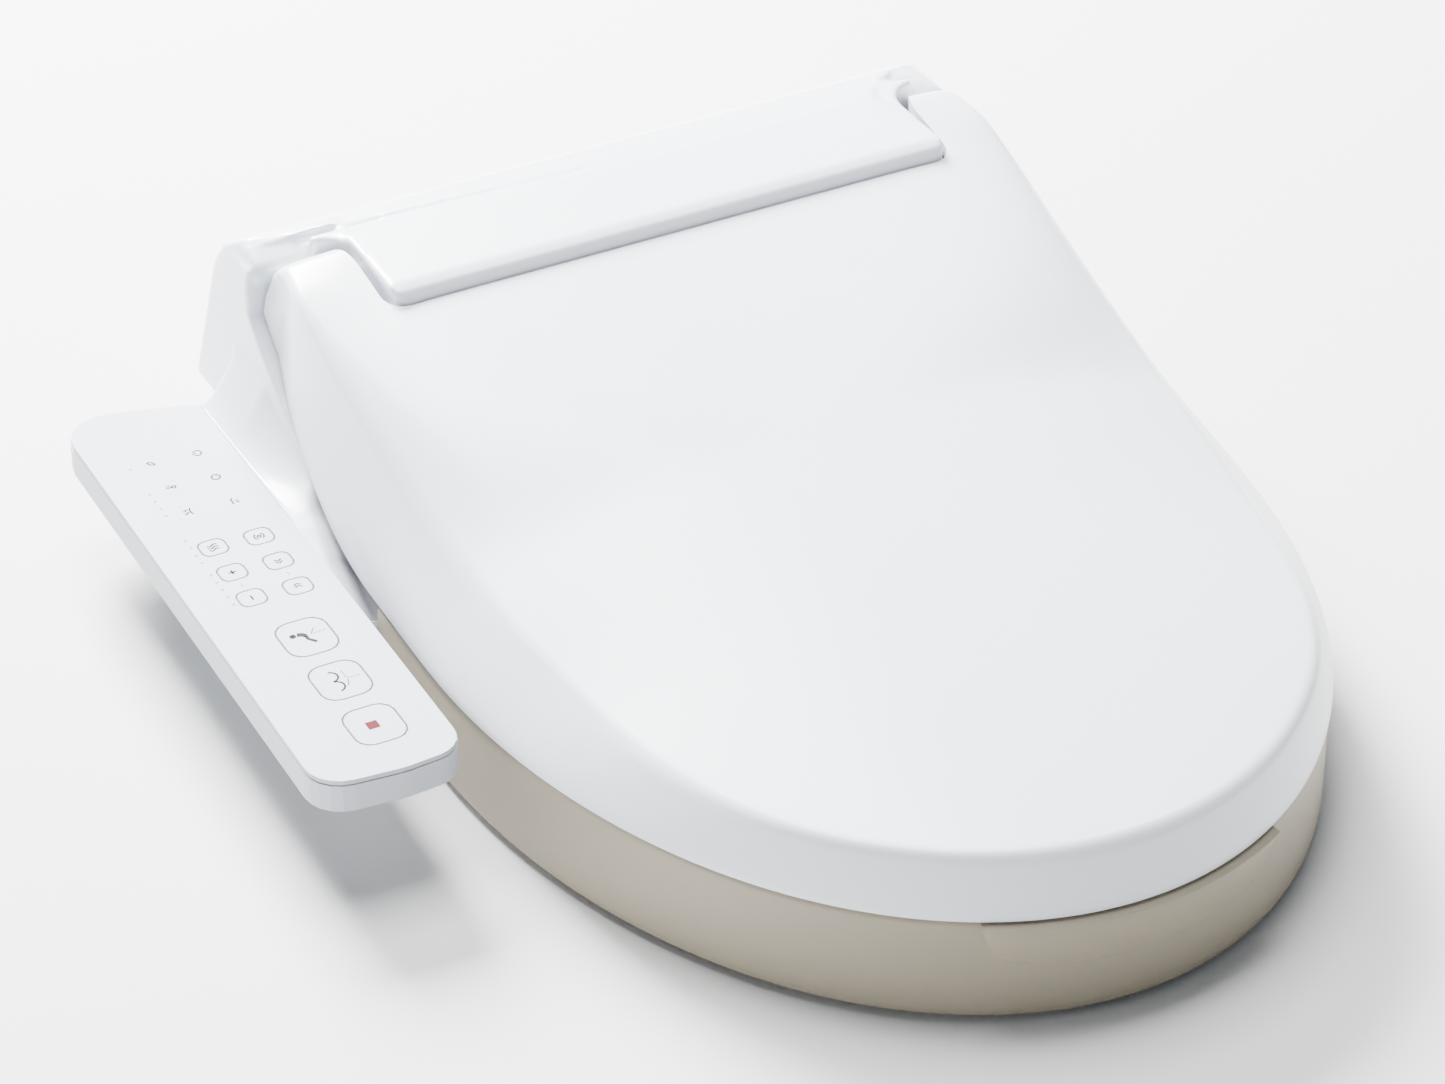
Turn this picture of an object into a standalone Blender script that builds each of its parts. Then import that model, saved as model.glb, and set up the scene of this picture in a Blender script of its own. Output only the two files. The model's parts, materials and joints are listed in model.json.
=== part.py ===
"""Electric bidet seat: mounting plate, washing unit with side panel, seat and lid.

Metres, +Z up, front of the seat towards -Y, control panel on the -X side.  The origin is the middle of
the mounting plate's underside, on the line of the two fixing bolts, level with the bowl's rim.
"""
import math

import bmesh
import bpy
from mathutils import Matrix, Vector

for old in list(bpy.data.objects):
    bpy.data.objects.remove(old, do_unlink=True)

# ---------------------------------------------------------------- driving dimensions
GAP = 0.0003                    # clearance between pieces that touch
HINGE_Y, HINGE_Z = -0.028, 0.129
FRONT_Y = -0.470                # front of the lid
WIDEST_Y = -0.212               # where seat and lid are widest
HALF_WIDTH = 0.1856
EAR_HALF_WIDTH = 0.1688
FRONT_POWER = 2.0               # superellipse of the front outline
SKIN = 0.003                    # wall of the lid, seat and cover
LID_LOW = 0.051                 # lower edge of the lid
LID_SLOPE = 0.1395              # rise of the lid's middle towards the hinge
LID_FRONT_Z = 0.078
CREASE_LOW, CREASE_Y = 0.0770, -0.315    # lowest point of the edge between top and side
NOTCH_Y = -0.0715               # lid's edge in front of the hump
NOTCH_X = 0.1365
HUMP_X, HUMP_Y = 0.1335, -0.0705         # the cover's hump, inside the lid's notch
COVER_X = 0.1775
COVER_LOW = 0.0428
BODY_FRONT = -0.112
BASE_X, BASE_BACK = 0.172, 0.045
BASE_LOW, BASE_TOP = 0.0085, 0.0425
PANEL_TOP = 0.058
PANEL_SHEET = 0.0022
PANEL_LOW = 0.0430
SEAT_LOW, SEAT_EDGE_Z, SEAT_TOP = 0.003, 0.0500, 0.0605
SEAT_BACK, SEAT_CORNER = -0.118, -0.1555
HOLE_Y, HOLE_HALF_WIDTH, HOLE_FRONT, HOLE_BACK = -0.272, 0.106, 0.128, 0.114
PIN_R, PIN_CLEAR = 0.0025, 0.0004
NOZZLE_TILT = math.radians(27)
NOZZLE_START = Vector((0, -0.108, 0.0225))      # the nozzle's axis at the body's front

WHITE = (0.86, 0.87, 0.89)
TAN = (0.42, 0.39, 0.33)
GREY = (0.42, 0.43, 0.45)
DARK = (0.06, 0.06, 0.065)


# ---------------------------------------------------------------- helpers
def material(name, colour, roughness=0.35, metallic=0.0):
    """A plain Principled material with the piece's own colour."""
    made = bpy.data.materials.new(name)
    made.use_nodes = True
    shader = made.node_tree.nodes["Principled BSDF"]
    shader.inputs["Base Color"].default_value = (*colour, 1)
    shader.inputs["Roughness"].default_value = roughness
    shader.inputs["Metallic"].default_value = metallic
    return made


def add_mesh(name, points, faces, look=None, origin=(0, 0, 0)):
    """An object from world points, with its own origin and outward faces."""
    start = Vector(origin)
    mesh = bpy.data.meshes.new(name)
    mesh.from_pydata([Vector(p) - start for p in points], [], faces)
    bm = bmesh.new()
    bm.from_mesh(mesh)
    bmesh.ops.recalc_face_normals(bm, faces=bm.faces)
    bm.to_mesh(mesh)
    bm.free()
    mesh.shade_smooth()
    mesh.set_sharp_from_angle(angle=math.radians(35))
    thing = bpy.data.objects.new(name, mesh)
    thing.location = start
    bpy.context.scene.collection.objects.link(thing)
    if look:
        mesh.materials.append(material(name, *look))
    return thing


def cutter(thing):
    """Mark an object as a tool that another piece's Boolean uses."""
    thing.hide_render = True
    thing.display_type = "WIRE"
    return thing


def combine(target, tool, operation):
    """Give the target an exact Boolean with the tool."""
    step = target.modifiers.new(operation.lower(), "BOOLEAN")
    step.operation = operation
    step.solver = "EXACT"
    step.object = cutter(tool)
    return target


def cut(target, *tools):
    for tool in tools:
        combine(target, tool, "DIFFERENCE")
    return target


def unite(target, *tools):
    for tool in tools:
        combine(target, tool, "UNION")
    return target


def skin_rings(rings, closed=False):
    """Faces between equal rings, capped at both ends, or joined end to start when closed."""
    count = len(rings[0])
    points = [p for ring in rings for p in ring]
    faces = []
    spans = len(rings) if closed else len(rings) - 1
    for k in range(spans):
        a, b = k * count, (k + 1) % len(rings) * count
        faces += [(a + i, a + (i + 1) % count, b + (i + 1) % count, b + i) for i in range(count)]
    if not closed:
        faces.append(tuple(range(count)))
        faces.append(tuple(range((len(rings) - 1) * count, len(rings) * count)))
    return points, faces


def loft(name, rings, look=None, closed=False, origin=(0, 0, 0)):
    return add_mesh(name, *skin_rings(rings, closed), look, origin)


def prism(name, outline, along, low, high, look=None, origin=(0, 0, 0)):
    """A flat outline pushed along x, y or z; the outline holds the other two coordinates in order."""
    slot = "xyz".index(along)
    rings = []
    for level in (low, high):
        ring = []
        for pair in outline:
            point = list(pair)
            point.insert(slot, level)
            ring.append(tuple(point))
        rings.append(ring)
    return loft(name, rings, look, origin=origin)


def box(name, low, high, look=None, origin=(0, 0, 0)):
    (x0, y0, z0), (x1, y1, z1) = low, high
    return prism(name, [(x0, y0), (x1, y0), (x1, y1), (x0, y1)], "z", z0, z1, look, origin)


def rounded(corners, radii, steps=4):
    """A polygon with each corner turned into an arc of its own radius."""
    outline = []
    for i, corner in enumerate(corners):
        here = Vector(corner)
        before = (Vector(corners[i - 1]) - here).normalized()
        after = (Vector(corners[(i + 1) % len(corners)]) - here).normalized()
        radius = radii[i] if isinstance(radii, (list, tuple)) else radii
        if radius <= 0:
            outline.append(tuple(here))
            continue
        half = before.angle(after) / 2
        centre = here + (before + after).normalized() * radius / math.sin(half)
        reach = radius / math.tan(half)
        first, last = here + before * reach - centre, here + after * reach - centre
        turn = first.angle_signed(last)
        for k in range(steps + 1):
            spot = Matrix.Rotation(-turn * k / steps, 2) @ first + centre
            outline.append(tuple(spot))
    return outline


def pad(name, low, high, corner, look=None, origin=(0, 0, 0), steps=3):
    """A plate with rounded corners seen from above."""
    (x0, y0, z0), (x1, y1, z1) = low, high
    outline = rounded([(x0, y0), (x1, y0), (x1, y1), (x0, y1)], corner, steps)
    return prism(name, outline, "z", z0, z1, look, origin)


def turned(name, profile, base, axis, look=None, sides=20, origin=None):
    """A solid of revolution: (radius, distance along the axis) pairs from base, closed by itself."""
    base, axis = Vector(base), Vector(axis).normalized()
    side = axis.orthogonal().normalized()
    rings = []
    for radius, height in profile:
        ring = []
        for k in range(sides):
            arm = Matrix.Rotation(2 * math.pi * k / sides, 3, axis) @ side * radius
            ring.append(tuple(base + axis * height + arm))
        rings.append(ring)
    hollow = profile[0] == profile[-1]
    if hollow:
        rings.pop()
    return loft(name, rings, look, closed=hollow, origin=base if origin is None else origin)


def rod(name, base, axis, radius, length, look=None, sides=16, origin=None):
    return turned(name, [(radius, 0), (radius, length)], base, axis, look, sides, origin)


# ---------------------------------------------------------------- outlines shared by seat, lid and cover
def half_width(y, inset=0.0):
    """Half the width of the lid at y, drawn in by the inset."""
    if y <= WIDEST_Y:
        reach = (WIDEST_Y - y) / (WIDEST_Y - FRONT_Y - inset)
        return (HALF_WIDTH - inset) * max(0.0, 1 - min(1, reach) ** FRONT_POWER) ** (1 / FRONT_POWER)
    narrowing = (HALF_WIDTH - EAR_HALF_WIDTH) * ((y - WIDEST_Y) / 0.195) ** 2
    return HALF_WIDTH - narrowing - inset


def superellipse(angle, centre_y, half, front, back, front_power, back_power):
    """A point of an egg-shaped outline; angle 0 is +X and the front is towards -Y."""
    c, s = math.cos(angle), math.sin(angle)
    power, reach = (back_power, back) if s > 0 else (front_power, front)
    x = half * math.copysign(abs(c) ** (2 / power), c)
    y = centre_y + reach * math.copysign(abs(s) ** (2 / power), s)
    return x, y


def eased(share):
    """0 to 1 with a gentle start and end."""
    share = min(1.0, max(0.0, share))
    return share * share * (3 - 2 * share)


def lid_inset(y):
    """How far the crease between the lid's top and side stands in from its lower edge."""
    if y <= WIDEST_Y:
        return 0.005 + 0.0138 * eased((y + 0.410) / 0.150)
    return 0.0188 - 0.0104 * min(1.0, (y - WIDEST_Y) / 0.167) ** 1.25


def crease_height(y):
    """Height of that crease, sweeping up to the ears."""
    if y <= CREASE_Y:
        return CREASE_LOW + 0.001 * eased((CREASE_Y - y) / 0.11)
    return min(0.1355, CREASE_LOW + 0.82 * (y - CREASE_Y) ** 2)


def lid_height(x, y):
    """The lid's top surface: a straight rise along the middle, falling to the crease at each side."""
    middle = LID_FRONT_Z + LID_SLOPE * (y - FRONT_Y)
    across = min(1.0, abs(x) / max(0.02, half_width(y, lid_inset(y))))
    flatness = 2.4 + 8.6 * eased((y - WIDEST_Y) / 0.14)
    return middle - max(0.0, middle - crease_height(y)) * across ** flatness


def lid_outline(lean, skin, back, front_steps=22, side_steps=6, back_steps=8):
    """The lid's plan from the front middle round the +X side; lean 0 is the lower edge, 1 the crease."""
    def front_spot(angle, inset):
        return superellipse(angle, WIDEST_Y, HALF_WIDTH - inset, WIDEST_Y - FRONT_Y - inset, 0.1,
                            FRONT_POWER, 2)

    right = []
    for k in range(front_steps + 1):
        angle = math.radians(-90 + 90 * k / front_steps)
        inset = skin + lean * lid_inset(front_spot(angle, 0.010)[1])
        right.append(front_spot(angle, inset))
    for k in range(1, side_steps + 1):
        y = WIDEST_Y + (back - WIDEST_Y) * k / side_steps
        right.append((half_width(y, skin + lean * lid_inset(y)), y))
    rear_x = right[-1][0]
    rear = [(rear_x * (1 - 2 * k / back_steps), back) for k in range(1, back_steps)]
    left = [(-x, y) for x, y in reversed(right[1:])]
    return right + rear + left


def ear_contour(clearance):
    """The lid's lower edge and ear end seen from the side, as (y, z), grown by the clearance."""
    radius = 0.0112 + clearance
    ear = [(HINGE_Y + radius * math.cos(a), HINGE_Z + radius * math.sin(a))
           for a in (math.radians(12 * k) for k in range(0, 8))]
    ear.reverse()
    low = [(-0.0135, 0.1100), (-0.0257, 0.0977), (-0.0410, 0.0860), (-0.0550, 0.0770),
           (-0.0730, 0.0680), (-0.0970, 0.0590), (-0.1200, 0.0535), (-0.1450, LID_LOW)]
    shifted = [(y + clearance * 0.8, z - clearance * 0.8) for y, z in low]
    return ear + shifted


# ---------------------------------------------------------------- mounting plate, fixed to the bowl
def mounting_plate():
    steps = [(-0.0985, 0), (0.0985, 0), (0.0985, 0.0036), (0.105, 0.0036), (0.105, 0.0078),
             (-0.105, 0.0078), (-0.105, 0.0036), (-0.0985, 0.0036)]
    plate = prism("mounting_plate", steps, "y", -0.045, 0.042, (GREY, 0.5))
    for side in (-1, 1):
        slot = rounded([(side * 0.070 - 0.018, -0.008), (side * 0.070 + 0.018, -0.008),
                        (side * 0.070 + 0.018, 0.008), (side * 0.070 - 0.018, 0.008)], 0.0079)
        cut(plate, prism("slot_%d" % side, slot, "z", -0.01, 0.02))
        name = "bolt_bush_" + ("right" if side > 0 else "left")
        ring = [(0.0045, 0), (0.0076, 0), (0.0076, 0.0078), (0.0045, 0.0078), (0.0045, 0)]
        turned(name, ring, (side * 0.070, 0, 0), (0, 0, 1), (DARK, 0.6))


# ---------------------------------------------------------------- base case and what stands on it
def base_case():
    outer = [(-BASE_X, BODY_FRONT), (BASE_X, BODY_FRONT), (BASE_X, BASE_BACK), (-BASE_X, BASE_BACK)]
    base = prism("base_case", rounded(outer, 0.006, 2), "z", BASE_LOW, BASE_TOP, (GREY, 0.5))
    wall = 0.0025
    inner = [(-BASE_X + wall, BODY_FRONT + wall), (BASE_X - wall, BODY_FRONT + wall),
             (BASE_X - wall, BASE_BACK - wall), (-BASE_X + wall, BASE_BACK - wall)]
    cut(base, prism("base_inside", inner, "z", BASE_LOW + wall, 0.06))
    for side in (-1, 1):
        rail = [(0.1055, BASE_LOW + 0.001), (0.1055, 0.0032), (0.0990, 0.0032), (0.0990, 0.0006),
                (0.1115, 0.0006), (0.1115, BASE_LOW + 0.001)]
        rail = [(side * x, z) for x, z in rail]
        unite(base, prism("rail_%d" % side, rail, "y", -0.046, 0.040))
    ports = [
        box("nozzle_port", (-0.0165, BODY_FRONT - 0.01, 0.0112), (0.0165, BODY_FRONT + 0.01, 0.0345)),
        box("dryer_port", (0.055, BODY_FRONT - 0.01, 0.0145), (0.095, BODY_FRONT + 0.01, 0.0345)),
        box("cartridge_port", (BASE_X - 0.01, -0.0985, 0.0135), (BASE_X + 0.01, -0.0615, 0.0345)),
        rod("button_port", (BASE_X - 0.01, -0.010, 0.026), (1, 0, 0), 0.0080, 0.02),
        rod("drain_port", (-BASE_X - 0.01, -0.094, 0.022), (1, 0, 0), 0.0064, 0.02),
        rod("inlet_port", (-BASE_X - 0.01, 0.026, 0.024), (1, 0, 0), 0.0084, 0.02),
        rod("gland_port", (0.110, BASE_BACK - 0.01, 0.026), (0, 1, 0), 0.0064, 0.02),
    ]
    cut(base, *ports)
    for side in (-1, 1):
        foot = [(0.009, 0), (0.010, 0.001), (0.010, BASE_LOW - GAP)]
        turned("front_foot_" + ("right" if side > 0 else "left"), foot, (side * 0.145, -0.094, 0),
               (0, 0, 1), (DARK, 0.7), 16)


def panel_bracket():
    """Grey carrier between the base case and the control panel, seen in the notch behind the panel."""
    low, top = 0.0310, PANEL_LOW - 2 * GAP
    arm = [(-BASE_X - GAP, -0.058), (-BASE_X - GAP, 0.014), (-0.2440, 0.014), (-0.2440, -0.058)]
    bracket = prism("panel_bracket", rounded(arm, 0.004, 2), "z", low, top, (GREY, 0.5))
    neck = box("neck", (-0.1946, 0.0062, 0.036), (-0.1835, 0.0138, 0.0525))
    unite(bracket, neck)


# ---------------------------------------------------------------- main cover with cheeks and panel arm
def cover_back(inset):
    """Top and rear of the cover seen from the side, from the hump's top back and down."""
    return [(0.002 - inset * 0.3, 0.1385 - inset), (0.016 - inset * 0.8, 0.1300 - inset * 0.8),
            (0.026 - inset, 0.1150 - inset * 0.3), (0.0547 - inset, COVER_LOW)]


def cover_middle(inset):
    """The hump between the ears and the wall behind the seat."""
    return [(BODY_FRONT + inset, COVER_LOW), (BODY_FRONT + inset, 0.095 - inset * 0.5),
            (-0.084 + inset, 0.112 - inset), (HUMP_Y + inset, 0.122 - inset * 0.5),
            (HUMP_Y + inset, 0.1345 - inset), (-0.0680 + inset * 0.7, 0.1385 - inset),
            (-0.0630 + inset * 0.5, 0.1405 - inset), (-0.0200, 0.1410 - inset)] + cover_back(inset)


def cover_side(inset):
    """The cheek under the lid's ear."""
    ear = [(-0.0070 + inset, 0.1405 - inset), (-0.0105 + inset, 0.1370 - inset * 0.7),
           (-0.0120 + inset, 0.1300)]
    low = [(y, z - inset) for y, z in ear_contour(0.0012)[8:]]
    low[0] = (-0.0120 + inset, low[0][1])
    edge = [(y, z) for y, z in low if y > BODY_FRONT + inset]
    return cover_back(inset) + [(BODY_FRONT + inset, COVER_LOW),
                                (BODY_FRONT + inset, 0.0535 - inset)] + edge[::-1] + ear[::-1]


def arm_section(y, heights, inner, low):
    """One slice of the arm, from the panel's edge up to the cheek."""
    outer = -0.1948
    steps = len(heights) - 1
    top = [(outer + (inner - outer) * k / steps, y, z) for k, z in enumerate(heights)]
    return top + [(inner, y, low), (outer, y, low)]


def hump_corner(side):
    """What is taken off the hump's front corner to round it, seen from above."""
    radius, spare = 0.007, 0.004
    x, y = HUMP_X - radius, HUMP_Y + radius
    arc = [(side * (x + radius * math.cos(a)), y - radius * math.sin(a))
           for a in (math.radians(15 * k) for k in range(7))]
    beyond = [(side * x, HUMP_Y - spare), (side * (HUMP_X + spare), HUMP_Y - spare),
              (side * (HUMP_X + spare), y)]
    return prism("hump_corner_%d" % side, arc + beyond, "z", 0.1185, 0.160)


def shoulder(side, inset=0.0):
    """What is taken off the cover's top at one end, where it rounds down."""
    curve = {-1: [(-0.1600, 0.1412), (-0.1680, 0.1398), (-0.1735, 0.1360), (-0.1762, 0.1300), (-0.1776, 0.1220)],
             1: [(0.1180, 0.1412), (0.1400, 0.1396), (0.1540, 0.1362), (0.1630, 0.1305), (0.1690, 0.1220),
                 (0.1735, 0.1100), (0.1776, 0.0950)]}[side]
    curve = [(x - side * inset, z - inset) for x, z in curve]
    beyond = [(side * 0.2000, curve[-1][1]), (side * 0.2000, 0.1600), (curve[0][0], 0.1600)]
    return prism("shoulder_%d_%d" % (side, inset > 0), curve + beyond, "y", -0.100, 0.060)


def top_cover():
    cover = prism("top_cover", cover_middle(0), "x", -HUMP_X, HUMP_X, (WHITE, 0.25))
    cheeks = [prism("cheek_left", cover_side(0), "x", -COVER_X, -HUMP_X + 0.001),
              prism("cheek_right", cover_side(0), "x", HUMP_X - 0.001, COVER_X)]
    cut(cover, hump_corner(-1), hump_corner(1))
    unite(cover, *cheeks)
    cut(cover, shoulder(-1), shoulder(1))
    slices = [(0.0055, (0.058, 0.0585, 0.066, 0.092), -0.176, COVER_LOW),
              (-0.030, (0.058, 0.0583, 0.064, 0.085), -0.176, COVER_LOW),
              (-0.060, (0.058, 0.0580, 0.061, 0.070), -0.176, COVER_LOW),
              (-0.085, (0.0575, 0.0573, 0.058, 0.060), -0.176, 0.0400),
              (-0.1135, (0.0530, 0.0525, 0.0520, 0.0515), -0.176, 0.0340),
              (-0.1145, (0.0528, 0.0523, 0.0518, 0.0512), -0.1660, 0.0335),
              (-0.1350, (0.0468, 0.0462, 0.0455, 0.0448), -0.1660, 0.0325),
              (-0.1530, (0.0412, 0.0406, 0.0398, 0.0390), -0.1660, 0.0315)]
    unite(cover, loft("panel_arm", [arm_section(*s) for s in slices]))
    wall = 0.0025
    hollow = prism("cover_inside", [(y, z - 0.02 if z < COVER_LOW + 0.001 else z)
                                    for y, z in cover_middle(wall)], "x", -0.1310, 0.1310)
    cut(cover, hollow)
    for side in (-1, 1):
        side_hollow = prism("cheek_inside_%d" % side,
                            [(y, z - 0.02 if z < COVER_LOW + 0.001 else z) for y, z in cover_side(wall)],
                            "x", *sorted((side * 0.1300, side * (COVER_X - wall))))
        cut(side_hollow, shoulder(side, wall))
        arm_slot = box("arm_slot_%d" % side, (min(side * 0.1375, side * 0.1640), -0.2, 0.0455),
                       (max(side * 0.1375, side * 0.1640), -0.074, 0.110))
        pin_hole = rod("pin_hole_%d" % side, (side * 0.120, HINGE_Y, HINGE_Z), (side, 0, 0),
                       PIN_R + PIN_CLEAR, 0.030)
        cut(cover, side_hollow, arm_slot, pin_hole)


# ---------------------------------------------------------------- control panel
LARGE, SMALL, PLAIN = (0.0225, 0.0252), (0.0120, 0.0115), (0.0092, 0.0100)
KEYS = {
    "key_stop": (-0.2234, -0.2395, LARGE), "key_rear_wash": (-0.2234, -0.2060, LARGE),
    "key_front_wash": (-0.2234, -0.1726, LARGE),
    "key_massage": (-0.2121, -0.0973, SMALL), "key_spray_back": (-0.2121, -0.1174, SMALL),
    "key_spray_front": (-0.2121, -0.1378, SMALL),
    "key_dry": (-0.2324, -0.0960, SMALL), "key_stronger": (-0.2324, -0.1163, SMALL),
    "key_weaker": (-0.2324, -0.1367, SMALL),
    "key_power": (-0.2109, -0.0276, PLAIN), "key_deodorise": (-0.2109, -0.0482, PLAIN),
    "key_nozzle_clean": (-0.2109, -0.0682, PLAIN),
    "key_eco": (-0.2310, -0.0263, PLAIN), "key_water_heat": (-0.2310, -0.0463, PLAIN),
    "key_seat_heat": (-0.2310, -0.0669, PLAIN),
}


def panel_outline(inset=0.0):
    corners = [(-0.2608 + inset, -0.2678 + inset), (-0.2240, -0.2712 + inset),
               (-0.1962 - inset, -0.2690 + inset), (-0.1950 - inset, -0.1200),
               (-0.1950 - inset, 0.0080 - inset), (-0.2300, 0.0180 - inset), (-0.2560 + inset, 0.0240 - inset)]
    return rounded(corners, [0.0165 - inset, 0.05, 0.0135 - inset, 0, 0.004, 0.03, 0.018 - inset], 5)


def control_panel():
    case_top = PANEL_TOP - PANEL_SHEET - GAP
    case = prism("panel_case", panel_outline(), "z", PANEL_LOW, case_top, (WHITE, 0.3))
    cut(case, prism("panel_inside", panel_outline(0.0022), "z", PANEL_LOW + 0.0022, 0.08))
    face = prism("panel_face", panel_outline(0.0004), "z", PANEL_TOP - PANEL_SHEET, PANEL_TOP, (WHITE, 0.3))
    for name, (x, y, (wide, deep)) in KEYS.items():
        corner = 0.32 * wide
        half = (wide / 2, deep / 2)
        grown = (half[0] + GAP, half[1] + GAP)
        cut(face, pad(name + "_hole", (x - grown[0], y - grown[1], 0.05), (x + grown[0], y + grown[1], 0.07),
                      corner))
        pad(name, (x - half[0], y - half[1], PANEL_TOP - 0.0032), (x + half[0], y + half[1], PANEL_TOP),
            corner, (WHITE, 0.3), origin=(x, y, PANEL_TOP))
    box("panel_board", (-0.2530, -0.2550, 0.0468), (-0.2030, -0.0050, 0.0484), ((0.05, 0.22, 0.10), 0.5))


# ---------------------------------------------------------------- washing nozzle
def nozzle():
    along = Vector((0, -math.cos(NOZZLE_TILT), -math.sin(NOZZLE_TILT)))
    up = Vector((0, -math.sin(NOZZLE_TILT), math.cos(NOZZLE_TILT)))
    back = NOZZLE_START - along * 0.128
    tip = NOZZLE_START - along * 0.014
    rod("nozzle_tube", back, -back + tip, 0.0058, (tip - back).length, ((0.80, 0.81, 0.82), 0.25), 20)
    head = turned("nozzle_head", [(0.0045, GAP), (0.0066, 0.0015), (0.0066, 0.0105), (0.0048, 0.0125)], tip,
                  along, ((0.80, 0.81, 0.82), 0.25), 20)
    jet = rod("jet", tip + along * 0.006 + up * 0.004, up, 0.0016, 0.01)
    cut(head, jet)
    side = 0.0125
    start, end = back - along * 0.002, NOZZLE_START - along * 0.017
    rings = []
    for centre in (start, end):
        rings.append([tuple(centre + Vector((sx * side, 0, 0)) + up * sz * 0.0105)
                      for sx, sz in ((-1, -1), (1, -1), (1, 1), (-1, 1))])
    guide = loft("nozzle_guide", rings, ((0.70, 0.71, 0.72), 0.5))
    bore = rod("guide_bore", start - along * 0.01, along, 0.0063, 0.16)
    slot = NOZZLE_START - along * 0.060 + Vector((0.008, 0, 0))
    window = rod("pinion_window", slot - Vector((0.006, 0, 0)) + up * 0.0105, (1, 0, 0), 0.0062, 0.02)
    cut(guide, bore, window)
    hub = NOZZLE_START - along * 0.060 + up * 0.0110
    rod("nozzle_pinion", hub + Vector((0.0025, 0, 0)), (1, 0, 0), 0.0050, 0.0085, ((0.75, 0.72, 0.6), 0.5), 14,
        origin=hub)
    rod("nozzle_motor", hub + Vector((0.0130, 0, 0)), (1, 0, 0), 0.0105, 0.016, (GREY, 0.4, 0.8), 20)
    turned("nozzle_shutter", [(0.0055, 0.0135), (0.0075, 0.0140), (0.0075, 0.0155), (0.0062, 0.0165)],
           tip, along, (WHITE, 0.3), 20)


# ---------------------------------------------------------------- water path
def water_path():
    tank = pad("heat_exchanger", (-0.122, -0.098, 0.0140), (-0.040, -0.022, 0.066), 0.010,
               ((0.75, 0.76, 0.74), 0.5))
    unite(tank, rod("tank_outlet", (-0.045, -0.060, 0.045), (1, 0, 0), 0.004, 0.016, sides=12),
          rod("tank_inlet", (-0.100, -0.030, 0.040), (0, 1, 0), 0.004, 0.020, sides=12))
    rod("tank_thermostat", (-0.081, -0.060, 0.066 + GAP), (0, 0, 1), 0.008, 0.007, (GREY, 0.4, 0.6), 18)
    valve = pad("solenoid_valve", (-0.118, -0.006, 0.0140), (-0.084, 0.036, 0.032), 0.004, (GREY, 0.5))
    unite(valve, rod("valve_coil", (-0.101, 0.012, 0.030), (0, 0, 1), 0.013, 0.028, sides=18))
    inlet = [(0.0040, 0), (0.0078, 0), (0.0078, 0.0224), (0.0105, 0.0224), (0.0105, 0.0280), (0.0078, 0.0285),
             (0.0078, 0.0400), (0.0040, 0.0400), (0.0040, 0)]
    turned("water_inlet", inlet, (-0.150, 0.026, 0.024), (-1, 0, 0), ((0.75, 0.76, 0.78), 0.3, 1.0), 20)
    plug = [(0.0058, 0), (0.0058, 0.0160), (0.0090, 0.0165), (0.0090, 0.0220), (0.0080, 0.0230)]
    turned("filter_plug", plug, (-0.157, -0.094, 0.022), (-1, 0, 0), (GREY, 0.5), 18)


# ---------------------------------------------------------------- dryer and deodoriser
def impeller(name, centre, axis, radius, height, blades=10):
    """A hub disc with radial blades, open all round."""
    wheel = rod(name, centre, axis, radius, 0.0015, ((0.2, 0.2, 0.22), 0.5), 20)
    axis = Vector(axis).normalized()
    side = axis.orthogonal().normalized()
    for k in range(blades):
        arm = Matrix.Rotation(2 * math.pi * (k + 0.5) / blades, 3, axis) @ side
        across = axis.cross(arm) * 0.0006
        base = Vector(centre) + axis * 0.0010
        inner, outer = base + arm * radius * 0.55, base + arm * radius * 0.97
        ring = [inner - across, outer - across, outer + across, inner + across]
        rings = [[tuple(p) for p in ring], [tuple(p + axis * (height - 0.001)) for p in ring]]
        unite(wheel, loft("%s_blade_%d" % (name, k), rings))
    unite(wheel, rod(name + "_hub", Vector(centre) + axis * 0.0005, axis, radius * 0.22, height, sides=12))


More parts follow.
